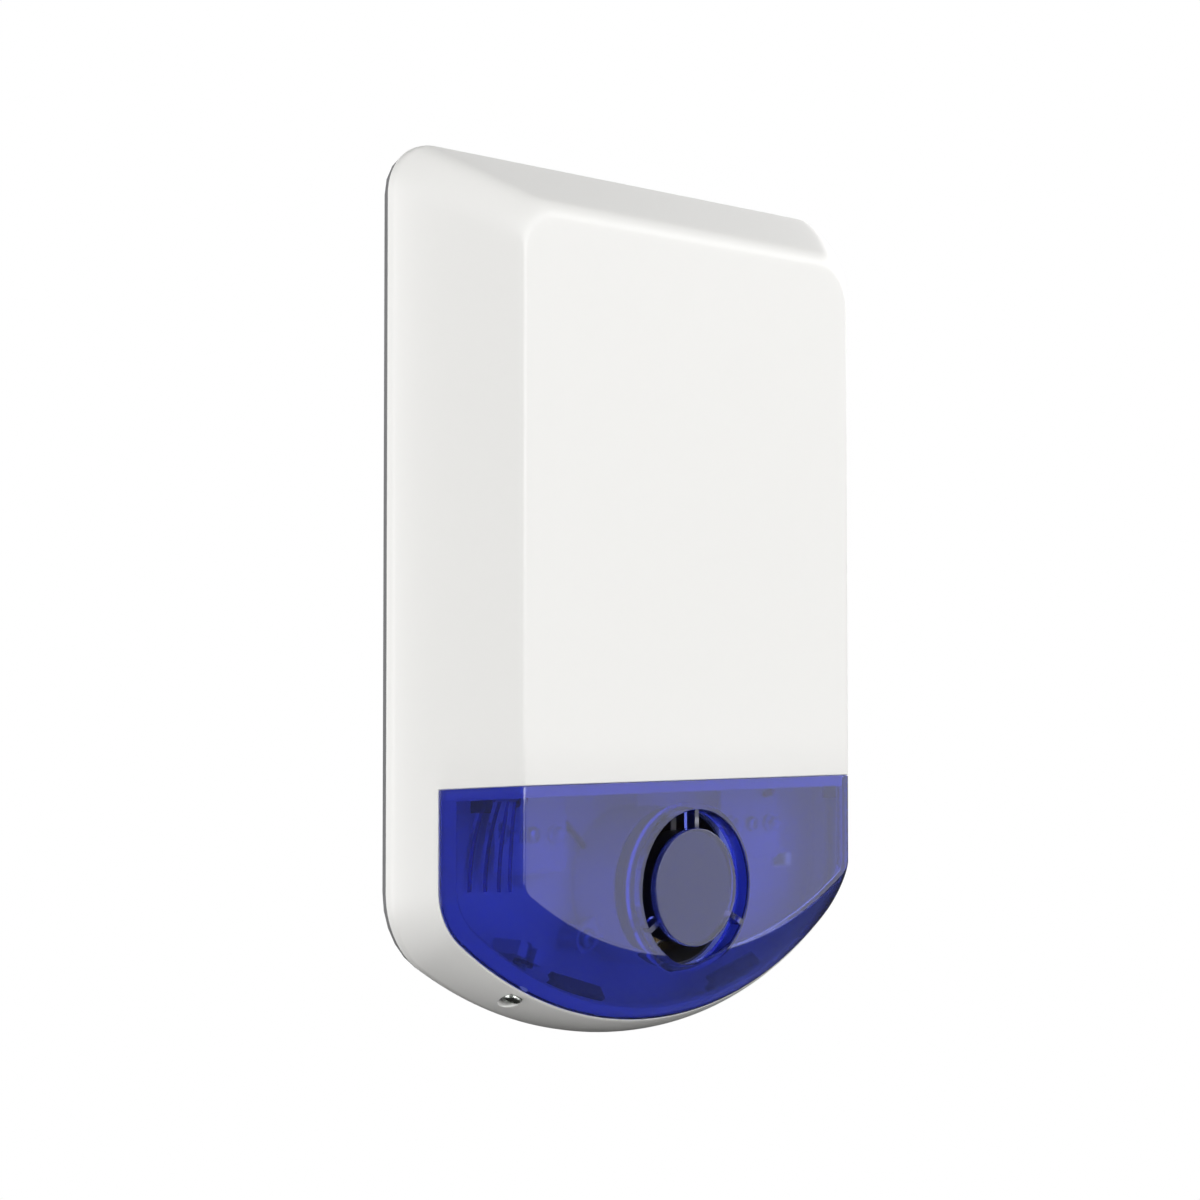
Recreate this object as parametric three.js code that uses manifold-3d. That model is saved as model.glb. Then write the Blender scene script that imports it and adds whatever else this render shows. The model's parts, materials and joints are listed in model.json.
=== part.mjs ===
// Wall-mounted outdoor alarm siren with a strobe lens.
//
// Millimetres. +X is right as seen by someone facing the siren, -Y is its front,
// +Z is up. The origin is the middle of the back plate's rear face, which lies on
// the wall. The cover hangs on the top edge of the back plate and swings forward.
import * as THREE from 'three';
import { mergeVertices } from 'three/addons/utils/BufferGeometryUtils.js';
import Module from 'manifold-3d';

const wasm = await Module();
wasm.setup();

// ---------------------------------------------------------------- driving sizes

const HEIGHT = 300;
const WIDTH = 220;
const DEPTH = 38; // wall to front face
const WALL = 2.5; // thickness of every moulded shell
const GAP = 0.3; // between pieces that rest on each other
const SKIRT_START = 2.6; // the cover's rear edge stands this far off the wall
const RIM_DEPTH = 5.5; // depth at which the sides start to lean in
const FRONT_WIDTH = 162.6;
const FRONT_TOP = 129.0;
const FRONT_BOTTOM = -121.3;
const SIDE_END = { rim: -96, front: -92.5 }; // where the straight sides end
const CORNER = { rim: 18, front: 14 }; // top corner radii
const ARC_END = { rim: -112, front: -95.5 }; // height at which the bottom arc would meet the sides

const LENS_TOP = -61.4; // top edge of the lens at the front face
const LENS_TILT = 0.065; // fall of that edge per millimetre towards the wall
const LENS_REAR = 18.5; // depth of the lens's rear edge
const LEDGE = 4; // how far the cover's ledge reaches behind the lens

const SOUND_Z = -98.2; // height of the sounder's axis
const DISC_RADIUS = 20.3;
const SLOT_RADIUS = 26.7;

const BOARD_DEPTH = 11; // wall to the rear face of the circuit boards
const BOARD_THICK = 1.6;

// ---------------------------------------------------------------- finishes

const WHITE_ABS = { color: 0xf4f3ef, roughness: 0.35, metalness: 0 };
const GREY_ABS = { color: 0xc9cbcc, roughness: 0.5, metalness: 0 };
const BLACK_ABS = { color: 0x16171a, roughness: 0.45, metalness: 0 };
const BLUE_LENS = { color: 0x23288c, roughness: 0.12, metalness: 0, transparent: true, opacity: 0.75 };
const FOAM = { color: 0x2a2b2d, roughness: 0.95, metalness: 0 };
const RUBBER = { color: 0x1c1d1f, roughness: 0.8, metalness: 0 };
const ZINC = { color: 0xb9bdb8, roughness: 0.3, metalness: 1 };
const BRASS = { color: 0xc8a85a, roughness: 0.35, metalness: 1 };
const BOARD_GREEN = { color: 0x1d5a3a, roughness: 0.5, metalness: 0 };
const BOARD_WHITE = { color: 0xeeeeea, roughness: 0.5, metalness: 0 };
const TERMINAL_GREEN = { color: 0x2f8f4e, roughness: 0.5, metalness: 0 };
const CELL_SLEEVE = { color: 0x2d6a4c, roughness: 0.4, metalness: 0 };
const LED_CLEAR = { color: 0xe8ecf4, roughness: 0.1, metalness: 0 };
const RED_WIRE = { color: 0xb3201c, roughness: 0.5, metalness: 0 };
const COPPER = { color: 0xb87342, roughness: 0.4, metalness: 1 };

// ---------------------------------------------------------------- solids

// Turns a closed three.js geometry into a solid with its faces pointing out.
function solid(geometry) {
  const bare = geometry.clone();
  bare.deleteAttribute('normal');
  bare.deleteAttribute('uv');
  const merged = mergeVertices(bare, 1e-4);
  const points = new Float32Array(merged.attributes.position.array);
  const corner = (index) => new THREE.Vector3().fromArray(points, 3 * index);
  const triangles = [];
  let volume = 0;
  for (let i = 0; i < merged.index.count; i += 3) {
    const [a, b, c] = [0, 1, 2].map((k) => merged.index.getX(i + k));
    if (a === b || b === c || c === a) continue;
    triangles.push([a, b, c]);
    volume += corner(a).dot(corner(b).cross(corner(c)));
  }
  const facing = volume > 0 ? triangles : triangles.map(([a, b, c]) => [a, c, b]);
  const triVerts = new Uint32Array(facing.flat());
  return new wasm.Manifold(new wasm.Mesh({ numProp: 3, vertProperties: points, triVerts }));
}

function geometryOf(body) {
  const mesh = body.getMesh();
  const geometry = new THREE.BufferGeometry();
  geometry.setAttribute('position', new THREE.BufferAttribute(new Float32Array(mesh.vertProperties), 3));
  geometry.setIndex(new THREE.BufferAttribute(new Uint32Array(mesh.triVerts), 1));
  geometry.computeVertexNormals();
  return geometry;
}

const join = (...bodies) => bodies.reduce((sum, body) => sum.add(body));
const cut = (body, ...tools) => tools.reduce((rest, tool) => rest.subtract(tool), body);

// A box between two opposite corners.
function block([x0, y0, z0], [x1, y1, z1]) {
  const geometry = new THREE.BoxGeometry(Math.abs(x1 - x0), Math.abs(y1 - y0), Math.abs(z1 - z0));
  return solid(geometry.translate((x0 + x1) / 2, (y0 + y1) / 2, (z0 + z1) / 2));
}

// A solid of revolution about the line through (x, z) that runs front to back.
// The profile is a list of [radius, depth from the wall].
function turned(profile, x = 0, z = 0, segments = 24) {
  const points = profile.map(([radius, depth]) => new THREE.Vector2(radius, -depth));
  return solid(new THREE.LatheGeometry(points, segments).translate(x, 0, z));
}

// A round rod, running front to back between two depths.
const rod = (radius, near, far, x = 0, z = 0, segments = 20) =>
  turned([[0, near], [radius, near], [radius, far], [0, far]], x, z, segments);

// A flat piece: a shape drawn in X and Z, thickened from one depth towards the front.
function plate(shape, depth, thickness, curveSegments = 3) {
  const options = { depth: thickness, bevelEnabled: false, curveSegments };
  return solid(new THREE.ExtrudeGeometry(shape, options).rotateX(Math.PI / 2).translate(0, -depth, 0));
}

function roundedRectangle(x0, z0, x1, z1, r) {
  const shape = new THREE.Shape();
  shape.moveTo(x0 + r, z0);
  shape.lineTo(x1 - r, z0).absarc(x1 - r, z0 + r, r, -Math.PI / 2, 0);
  shape.lineTo(x1, z1 - r).absarc(x1 - r, z1 - r, r, 0, Math.PI / 2);
  shape.lineTo(x0 + r, z1).absarc(x0 + r, z1 - r, r, Math.PI / 2, Math.PI);
  shape.lineTo(x0, z0 + r).absarc(x0 + r, z0 + r, r, Math.PI, 1.5 * Math.PI);
  return shape;
}

// A closed skin through a stack of rings with the same number of points, capped at both ends.
function loft(rings) {
  const count = rings[0].length;
  const index = [];
  for (let level = 0; level + 1 < rings.length; level++) {
    for (let i = 0; i < count; i++) {
      const a = level * count + i;
      const b = level * count + ((i + 1) % count);
      index.push(a, b, a + count, b, b + count, a + count);
    }
  }
  const last = (rings.length - 1) * count;
  const middles = [rings[0], rings.at(-1)].map((end) =>
    end.reduce((sum, point) => sum.add(point), new THREE.Vector3()).divideScalar(count));
  const [start, finish] = [rings.length * count, rings.length * count + 1];
  for (let i = 0; i < count; i++) {
    const next = (i + 1) % count;
    index.push(start, next, i, finish, last + i, last + next);
  }
  const geometry = new THREE.BufferGeometry().setFromPoints([...rings.flat(), ...middles]);
  geometry.setIndex(index);
  return solid(geometry);
}

// A round tube along a smooth curve through the given points.
function tube(points, radius, steps, sides) {
  const section = new THREE.Shape();
  section.absarc(0, 0, radius, 0, 2 * Math.PI);
  const path = points instanceof THREE.Curve
    ? points
    : new THREE.CatmullRomCurve3(points.map((p) => new THREE.Vector3(...p)));
  const options = { steps, extrudePath: path, curveSegments: sides / 2, bevelEnabled: false };
  return solid(new THREE.ExtrudeGeometry(section, options));
}

// ---------------------------------------------------------------- outer form

// How the sides, the top and the bottom draw in from the rim to the front face:
// total draw, how much of it comes late, fold radius at the front face.
const DRAW = {
  side: { total: (WIDTH - FRONT_WIDTH) / 2, late: 0.35, fold: 2.4 },
  top: { total: HEIGHT / 2 - FRONT_TOP, late: 0.1, fold: 9 },
  bottom: { total: HEIGHT / 2 + FRONT_BOTTOM, late: 0.9, fold: 2.4 },
};
const RIM_ROUND = 4; // radius between the skirt and the leaning faces
const RUN = DEPTH - RIM_DEPTH;

// Draw of one face at a depth: skirt, rounding, gently curved slope, front fold.
function drawAt({ total, late, fold }, depth) {
  const run = depth - RIM_DEPTH;
  const startAngle = Math.atan((total / RUN) * (1 - late));
  const tangent = RIM_ROUND * Math.tan(startAngle / 2);
  if (run <= -tangent) return 0;
  if (run < -tangent + RIM_ROUND * Math.sin(startAngle)) {
    return RIM_ROUND - Math.sqrt(RIM_ROUND ** 2 - (run + tangent) ** 2);
  }
  const slope = (total / RUN) * (1 + late);
  const endAngle = Math.atan(slope);
  const centreRun = RUN - fold;
  const centreDraw = total - slope * fold + fold / Math.cos(endAngle);
  if (run > centreRun + fold * Math.sin(endAngle)) {
    return centreDraw - Math.sqrt(Math.max(fold ** 2 - (run - centreRun) ** 2, 0));
  }
  const s = run / RUN;
  return total * ((1 - late) * s + late * s * s);
}

const mix = (a, b, t) => a + (b - a) * t;

// Outline at a depth, drawn in by an extra amount, as points from the middle of
// the top clockwise: top edge, rounded corner, straight side, blend, bottom arc.
function outline(depth, inset = 0) {
  const t = THREE.MathUtils.clamp((depth - RIM_DEPTH) / RUN, 0, 1);
  const half = WIDTH / 2 - drawAt(DRAW.side, depth) - inset;
  const top = HEIGHT / 2 - drawAt(DRAW.top, depth) - inset;
  const bottom = -HEIGHT / 2 + drawAt(DRAW.bottom, depth) + inset;
  const corner = Math.max(mix(CORNER.rim, CORNER.front, t) - inset, 2);
  const rise = mix(ARC_END.rim, ARC_END.front, t) + HEIGHT / 2 - drawAt(DRAW.bottom, depth);
  const arc = ((half + inset) ** 2 + rise ** 2) / (2 * rise) - inset;
  const arcCentre = bottom + arc;
  const sideEnd = mix(SIDE_END.rim, SIDE_END.front, t);
  const blend = (arc ** 2 - half ** 2 - (arcCentre - sideEnd) ** 2) / (2 * (arc - half));
  const blendAngle = Math.atan2(sideEnd - arcCentre, half - blend);

  const right = [[half * 0.5, top]];
  const sweep = (x, z, radius, from, to, steps, skipFirst = false) => {
    for (let i = skipFirst ? 1 : 0; i <= steps; i++) {
      const angle = mix(from, to, i / steps);
      right.push([x + radius * Math.cos(angle), z + radius * Math.sin(angle)]);
    }
  };
  sweep(half - corner, top - corner, corner, Math.PI / 2, 0, 5);
  right.push([half, mix(top - corner, LENS_TOP, 0.5)], [half, LENS_TOP]);
  sweep(half - blend, sideEnd, blend, 0, blendAngle, 5);
  sweep(0, arcCentre, arc, blendAngle, -Math.PI / 2, 9, true);
  const bottomMiddle = right.pop();
  const left = right.map(([x, z]) => [-x, z]).reverse();
  return [[0, top], ...right, bottomMiddle, ...left];
}

const ring = (points, depth) => points.map(([x, z]) => new THREE.Vector3(x, -depth, z));

// The cover's outer form, or the same form drawn in all round by an inset.
const OUTER_DEPTHS = [4.4, 5.5, 7, 10, 14, LENS_REAR, 24, 29, 32.5, 35, 36.5, 37.4, DEPTH];
const INNER_DEPTHS = [5.5, 10, LENS_REAR, 28, 34, DEPTH];
const DRAW_IN = 0.42; // sideways draw per millimetre of inset where the sides lean
function form(inset, start) {
  const rings = [ring(outline(0, inset), start)];
  for (const depth of inset > 0 ? INNER_DEPTHS : OUTER_DEPTHS) {
    const t = THREE.MathUtils.clamp((depth - RIM_DEPTH) / RUN, 0, 1);
    const sideways = inset * mix(1, DRAW_IN, t);
    rings.push(ring(outline(depth, sideways), mix(depth, depth - inset, t)));
  }
  return loft(rings);
}

const FAR = 400; // larger than the whole siren
const lensTopAt = (depth) => LENS_TOP - LENS_TILT * (DEPTH - depth);

// Everything below the lens's top edge and in front of its rear edge, grown by a margin.
function lensZone(margin) {
  const near = LENS_REAR - margin;
  const profile = new THREE.Shape();
  profile.moveTo(near, -FAR);
  profile.lineTo(FAR, -FAR);
  profile.lineTo(FAR, lensTopAt(FAR) + margin);
  profile.lineTo(near, lensTopAt(near) + margin);
  profile.closePath();
  const geometry = new THREE.ExtrudeGeometry(profile, { depth: 2 * FAR, bevelEnabled: false });
  // Profile X becomes the depth (-Y), profile Y becomes Z, the extrusion runs along X.
  const turn = new THREE.Matrix4().makeBasis(
    new THREE.Vector3(0, -1, 0), new THREE.Vector3(0, 0, 1), new THREE.Vector3(-1, 0, 0));
  return solid(geometry.applyMatrix4(turn).translate(FAR, 0, 0));
}

const mirrored = [-1, 1];
const handOf = (side) => (side < 0 ? 'left' : 'right');

// Sounder spokes, in degrees clockwise from the top.
const SPOKE_ANGLES = [0, 120, 240];

// A bar lying radially round the sounder's axis, between two radii and two depths.
function radialBar(angle, width, inner, outer, near, far) {
  const bar = new THREE.BoxGeometry(width, far - near, outer - inner);
  bar.translate(0, -(near + far) / 2, (inner + outer) / 2);
  return solid(bar.rotateY(THREE.MathUtils.degToRad(angle)).translate(0, 0, SOUND_Z));
}

// ---------------------------------------------------------------- assembly group

const siren = new THREE.Group();

function add(name, finish, body, position = [0, 0, 0]) {
  const mesh = new THREE.Mesh(geometryOf(body), new THREE.MeshStandardMaterial(finish));
  mesh.name = name;
  mesh.position.set(...position);
  siren.add(mesh);
  return mesh;
}

// ---------------------------------------------------------------- cover screw line

// The cover screw enters the underside left of the middle, square to the curved rim.
const SCREW_X = -65;
const SCREW_DEPTH = 13.5;
const SCREW_TRAVEL = 7;
const SHANK = 1.75;
const HEAD = { radius: 3.4, height: 2.0 };
const COUNTERBORE = HEAD.radius + 0.4;
const SEAT = 1.9; // how deep the head's seat lies under the rim's surface
const BOSS_LENGTH = 6;
const BOSS_RADIUS = 4.6;
const WASHER = { radius: 3.5, near: 13.3, far: 14.5 };
const LUG = { from: 15, to: 20, half: 6 };
const SHANK_LENGTH = 19.5;

// The point on the curved underside at a given x and depth, and the direction square to the
// outline there.
function underside(x, depth) {
  const draw = drawAt(DRAW.bottom, depth);
  const t = THREE.MathUtils.clamp((depth - RIM_DEPTH) / RUN, 0, 1);
  const half = WIDTH / 2 - drawAt(DRAW.side, depth);
  const rise = mix(ARC_END.rim, ARC_END.front, t) + HEIGHT / 2 - draw;
  const radius = (half ** 2 + rise ** 2) / (2 * rise);
  const lean = Math.asin(x / radius);
  const out = new THREE.Vector3(Math.sin(lean), 0, -Math.cos(lean));
  const foot = new THREE.Vector3(0, -depth, -HEIGHT / 2 + draw + radius).addScaledVector(out, radius);
  return { foot, out };
}

// Stands a body on a point of the outer surface: what is drawn along -Y runs inward from the
// foot, and local Z runs back along the surface towards the wall.
function standAt(body, { foot, out }) {
  const side = new THREE.Vector3().crossVectors(out, new THREE.Vector3(0, 1, 0)).normalize();
  const back = new THREE.Vector3().crossVectors(side, out);
  const frame = new THREE.Matrix4().makeBasis(side, out, back).setPosition(foot);
  return solid(geometryOf(body).applyMatrix4(frame));
}

const screwSpot = underside(SCREW_X, SCREW_DEPTH);
const onScrewLine = (body) => standAt(body, screwSpot);

// ---------------------------------------------------------------- cover

const HINGE_TAB = { x: 60, half: 5, near: 4.4, far: 7.2, reach: 7 };
const LEDGE_ROOT = 3; // how far the ledge's root laps the cover's wall
const LEDGE_THICK = 1.5;

function coverShell() {
  return cut(form(0, SKIRT_START), form(WALL, 0.5));
}

// The flange that the lens beds on: behind its top and rear edges, one gap under its wall.
function lensLedge() {
  const underLens = form(WALL + GAP, SKIRT_START).intersect(lensZone(LEDGE_ROOT));
  const root = form(WALL - 0.2, SKIRT_START).intersect(cut(lensZone(LEDGE_ROOT), lensZone(GAP)));
  return cut(join(underLens, root), form(WALL + GAP + LEDGE_THICK, 0.5), lensZone(-LEDGE));
}

function frontCover() {
  const boss = onScrewLine(rod(BOSS_RADIUS, -4, BOSS_LENGTH)).intersect(form(0, SKIRT_START));
  const tabs = mirrored.map((side) => block(
    [side * HINGE_TAB.x - HINGE_TAB.half, -HINGE_TAB.near, HEIGHT / 2 - WALL - HINGE_TAB.reach],
    [side * HINGE_TAB.x + HINGE_TAB.half, -HINGE_TAB.far, HEIGHT / 2 - WALL + 0.5]));
  const tamperPost = rod(3, DEPTH - WALL + 0.3, TAMPER.depth + GAP, TAMPER.x, TAMPER.z, 16);
  const washerRoom = onScrewLine(rod(WASHER.radius + GAP, BOSS_LENGTH, WASHER.far));
  const ledge = cut(lensLedge(), washerRoom);
  const shell = join(cut(coverShell(), lensZone(GAP)), ledge, boss, tamperPost, ...tabs);
  const counterbore = onScrewLine(rod(COUNTERBORE, -6, SEAT));
  const hole = onScrewLine(rod(SHANK + GAP, -6, BOSS_LENGTH + 2));
  return cut(shell, counterbore, hole);
}

// ---------------------------------------------------------------- lens

const TUBE = { depth: 31.5, wall: 2.5 }; // the short tube round the sound slot
const LENS_SPOKE = { width: 2, depth: 5, lap: 0.3 };

function sirenLens() {
  const whole = form(0, SKIRT_START);
  const shell = cut(whole.intersect(lensZone(0)), form(WALL, 0.5));
  const tubeBody = rod(SLOT_RADIUS + TUBE.wall, TUBE.depth, DEPTH, 0, SOUND_Z, 32).intersect(whole);
  const slot = rod(SLOT_RADIUS, TUBE.depth - 1, DEPTH + 5, 0, SOUND_Z, 32);
  const disc = rod(DISC_RADIUS, DEPTH - WALL, DEPTH, 0, SOUND_Z, 32);
  const { width, depth, lap } = LENS_SPOKE;
  const spokes = SPOKE_ANGLES.map((angle) =>
    radialBar(angle, width, DISC_RADIUS - lap, SLOT_RADIUS + 1, DEPTH - depth, DEPTH));
  return join(cut(join(shell, tubeBody), slot), disc, ...spokes);
}

// Spring clips behind the ledge pull the lens home: a base square to the wall and a hook.
const CLIP_GAP = WALL + GAP + LEDGE_THICK + GAP + 0.1; // from the outer surface to a clip
const UPPER_CLIP = { depth: 28.5, z: -67.2, along: 6, back: 7, thick: 3 };
const LOWER_CLIP = { depth: 21.5, x: 41, along: 24, back: 6, thick: 3 };

// Tilts the direction square to the outline until it is square to the sloping wall.
function squareTo(face, depth, { foot, out }) {
  const slope = Math.atan(drawAt(face, depth + 0.5) - drawAt(face, depth - 0.5));
  const tilted = out.clone().multiplyScalar(Math.cos(slope)).add(new THREE.Vector3(0, -Math.sin(slope), 0));
  return { foot, out: tilted };
}

function springClip({ along, back, thick }, spot) {
  const base = block([-along / 2, -CLIP_GAP, -back / 2], [along / 2, -(CLIP_GAP + thick), back / 2]);
  const hook = block([-along / 2, -(CLIP_GAP + thick - 1), -back / 2],
    [along / 2, -(CLIP_GAP + thick + 2), -back / 2 + 2]);
  return standAt(join(base, hook), spot);
}

function upperClip(side) {
  const { depth, z } = UPPER_CLIP;
  const foot = new THREE.Vector3(side * (WIDTH / 2 - drawAt(DRAW.side, depth)), -depth, z);
  return springClip(UPPER_CLIP, squareTo(DRAW.side, depth, { foot, out: new THREE.Vector3(side, 0, 0) }));
}

function lowerClip(side) {
  const { depth, x } = LOWER_CLIP;
  return springClip(LOWER_CLIP, squareTo(DRAW.bottom, depth, underside(side * x, depth)));
}

// ---------------------------------------------------------------- cover screw

function coverScrew() {
  const screw = turned([[0, -HEAD.height + SEAT - GAP], [HEAD.radius * 0.6, -HEAD.height + SEAT - GAP],
    [HEAD.radius, -HEAD.height * 0.35 + SEAT - GAP], [HEAD.radius, SEAT - GAP],
    [SHANK, SEAT - GAP], [SHANK, SEAT - GAP + SHANK_LENGTH - 1.5], [0.8, SEAT - GAP + SHANK_LENGTH],
    [0, SEAT - GAP + SHANK_LENGTH]], 0, 0, 20);
  return onScrewLine(cut(screw, crossRecess(HEAD.radius, SEAT - GAP - HEAD.height, 1.3)));
}

// A cross recess cut into a head whose outer face lies at the given depth.
function crossRecess(radius, face, deep) {
  const arm = radius * 0.62;
  const half = radius * 0.13;
  return join(
    block([-arm, -(face - 1), -half], [arm, -(face + deep), half]),
    block([-half, -(face - 1), -arm], [half, -(face + deep), arm]));
}

const screwWasher = () => onScrewLine(turned(
  [[SHANK + GAP, WASHER.near], [WASHER.radius, WASHER.near], [WASHER.radius, WASHER.far],
    [SHANK + GAP, WASHER.far], [SHANK + GAP, WASHER.near]], 0, 0, 16));

// ---------------------------------------------------------------- back plate

const PLATE_INSET = 3.7;
const CURB = { outer: 6.8, inner: 8.8, depth: 9 };
const BOARD = { x0: -62, x1: 62, z0: 18, z1: 112 };
const BOARD_HOLES = [[-54, 26], [54, 26], [-54, 104], [54, 104]];
const STROBE = { x: 55, z: -79, width: 32, height: 26, ledShift: 10 };
const EAR_RADIUS = 34;
const EAR_ANGLES = [90, 210, 330];
const BRACKET_X = 51;
const BATTERY_Z = -25;
const CABLE = { x: 76, z: -22, radius: 9 };
const WALL_TAMPER = { x: -76, z: -22 };
const TAMPER = { x: 40, z: 92, depth: 24.5 };
const POST_TOP = BOARD_DEPTH - GAP;
const KEYHOLE = { x: 70, z: 122, drop: 9, head: 4.4, neck: 2.4 };
const SCREW_SLOT = { x: 84, z: -94, half: 5, neck: 2.4 };
const GUIDE = { outer: 6.5, inner: 4.6, depth: 16 }; // tube round the wall tamper plunger

const earSpots = EAR_ANGLES.map((degrees) => {
  const angle = THREE.MathUtils.degToRad(degrees);
  return [EAR_RADIUS * Math.cos(angle), SOUND_Z + EAR_RADIUS * Math.sin(angle)];
});

// A screw post on the back plate and its blind pilot hole.
const post = ([x, z]) => rod(3.6, 2, POST_TOP, x, z, 12);
const pilot = ([x, z]) => rod(1.5, 4, POST_TOP + 1, x, z, 8);

function backPlate() {
  const sheet = loft([ring(outline(0, PLATE_INSET), 0), ring(outline(0, PLATE_INSET), WALL)]);
  const curb = cut(
    loft([ring(outline(0, CURB.outer), 2), ring(outline(0, CURB.outer), CURB.depth)]),
    loft([ring(outline(0, CURB.inner), 1), ring(outline(0, CURB.inner), CURB.depth + 1)]));
  const postSpots = [
    ...BOARD_HOLES,
    ...mirrored.map((side) => [side * STROBE.x, STROBE.z]),
    ...mirrored.map((side) => [side * BRACKET_X, BATTERY_Z]),
    ...earSpots,
  ];
  const guide = cut(
    rod(GUIDE.outer, 2, GUIDE.depth, WALL_TAMPER.x, WALL_TAMPER.z),
    rod(GUIDE.inner, WALL, GUIDE.depth + 1, WALL_TAMPER.x, WALL_TAMPER.z));
  const lug = onScrewLine(block([-LUG.half, -LUG.from, -2.5], [LUG.half, -LUG.to, SCREW_DEPTH - 1]));
  const slack = SHANK + 0.4;
  const lugSlot = onScrewLine(block([-slack, -LUG.from + 1, -10], [slack, -LUG.to - 1, slack]));

  const cableHole = rod(CABLE.radius, -1, 5, CABLE.x, CABLE.z);
  const tamperHole = rod(3, -1, 5, WALL_TAMPER.x, WALL_TAMPER.z, 16);
  const keyholes = mirrored.map((side) => join(
    rod(KEYHOLE.head, -1, 4, side * KEYHOLE.x, KEYHOLE.z - KEYHOLE.drop, 16),
    block([side * KEYHOLE.x - KEYHOLE.neck, 1, KEYHOLE.z - KEYHOLE.drop],
      [side * KEYHOLE.x + KEYHOLE.neck, -4, KEYHOLE.z])));
  const screwSlots = mirrored.map((side) => block(
    [side * SCREW_SLOT.x - SCREW_SLOT.half, 1, SCREW_SLOT.z - SCREW_SLOT.neck],
    [side * SCREW_SLOT.x + SCREW_SLOT.half, -4, SCREW_SLOT.z + SCREW_SLOT.neck]));
  const tabSlots = mirrored.map((side) => block(
    [side * HINGE_TAB.x - HINGE_TAB.half - 2, -WALL - 0.6, HEIGHT / 2 - CURB.inner - 2],
    [side * HINGE_TAB.x + HINGE_TAB.half + 2, -CURB.depth - 1, HEIGHT / 2 - CURB.outer + 1]));
  const screwPath = onScrewLine(block([-7, 0, -20], [7, -LUG.from + 1, 7.2]));
  const screwPathOpen = screwPath.intersect(block([-FAR, -WALL - 0.6, -FAR], [FAR, -FAR, FAR]));
  const plateBody = join(sheet, curb, ...postSpots.map(post), guide);
  return cut(
    join(cut(plateBody, screwPathOpen), cut(lug, lugSlot)),
    cableHole, tamperHole, ...keyholes, ...screwSlots, ...tabSlots,
    ...postSpots.map(pilot));
}

function wallSeal() {
  const [outer, inner, thick] = [1, PLATE_INSET - GAP, 2.2];
  return cut(
    loft([ring(outline(0, outer), 0), ring(outline(0, outer), thick)]),
    loft([ring(outline(0, inner), -1), ring(outline(0, inner), thick + 1)]));
}

const cableGrommet = () => turned([[3.5, 0.3], [CABLE.radius - GAP, 0.3], [CABLE.radius - GAP, WALL + GAP],
  [12, WALL + GAP], [12, WALL + GAP + 1.6], [3.5, WALL + GAP + 1.6], [3.5, 0.3]], CABLE.x, CABLE.z);

// ---------------------------------------------------------------- small screws

// A pan-head screw whose head rests at the local origin, its shank running into the wall.
function panScrew(shankLength) {
  const height = 1.9;
  const body = turned([[0, height], [1.7, height], [2.8, 0.9], [2.8, 0], [1.2, 0],
    [1.2, -shankLength], [0, -shankLength]], 0, 0, 8);
  return cut(body, crossRecess(2.8, height - 1, 1));
}
const boardScrew = panScrew(6.5);

function addScrew(name, x, z, depth) {
  add(name, ZINC, boardScrew, [x, -(depth + GAP), z]);
}

// ---------------------------------------------------------------- main board

const BOARD_FACE = BOARD_DEPTH + BOARD_THICK;
const ON_BOARD = BOARD_FACE + GAP;

function boardBlank(x0, z0, x1, z1, holes) {
  const blank = plate(roundedRectangle(x0, z0, x1, z1, 3), BOARD_DEPTH, BOARD_THICK);
  return cut(blank, ...holes.map(([x, z]) => rod(1.7, BOARD_DEPTH - 1, BOARD_FACE + 1, x, z, 10)));
}

const CHIP = { x: -14, z: 74, size: 12, height: 1.6 };
const COIL = { x: 10, z: 72 };
const CAPACITOR = { x: 36, z: 52, radius: 5, height: 13 };
const BATTERY_SOCKET_X = 38;
const SOUNDER_SOCKET_X = -40;

// A part standing on the main board: a box given by its middle, size and height.
const onBoard = (x, z, width, tall, height) => block(
  [x - width / 2, -ON_BOARD, z - tall / 2], [x + width / 2, -(ON_BOARD + height), z + tall / 2]);

function terminalBlock() {
  const ways = 6;
  const pitch = 5;
  const [x, z, height, tall] = [-6, 25, 10, 9];
  const body = onBoard(x, z, ways * pitch + 1, tall, height);
  const spots = Array.from({ length: ways }, (_, i) => x + (i - (ways - 1) / 2) * pitch);
  const mouths = spots.map((spot) => block(
    [spot - 1.7, -(ON_BOARD + 1.5), z - tall / 2 - 1], [spot + 1.7, -(ON_BOARD + 5.5), z - tall / 2 + 4]));
  const wells = spots.map((spot) => rod(1.8, ON_BOARD + 7, ON_BOARD + height + 1, spot, z, 12));
  return cut(body, ...mouths, ...wells);
}

function driverCoil() {
  const start = ON_BOARD;
  return turned([[0, start], [8, start], [8, start + 1.5], [6.2, start + 2.2], [6.2, start + 7.3],
    [8, start + 8], [8, start + 9.5], [2.5, start + 9.5], [2.5, start + 7.5], [0, start + 7.5]], 0, 0, 20);
}

function capacitor() {
  const { radius, height } = CAPACITOR;
  return turned([[0, ON_BOARD], [radius, ON_BOARD], [radius, ON_BOARD + height - 0.6],
    [radius - 0.5, ON_BOARD + height], [0, ON_BOARD + height]], 0, 0, 18);
}

function jumperHeader() {
  const [x, z, pitch] = [-30, 46, 2.54];
  const base = onBoard(x, z, 4 * pitch, 2.5, 2.5);
  const pins = [0, 1, 2, 3].map((i) => {
    const spot = x + (i - 1.5) * pitch;
    return block([spot - 0.35, -(ON_BOARD + 2), z - 0.35], [spot + 0.35, -(ON_BOARD + 8.5), z + 0.35]);
  });
  return join(base, ...pins);
}

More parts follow.
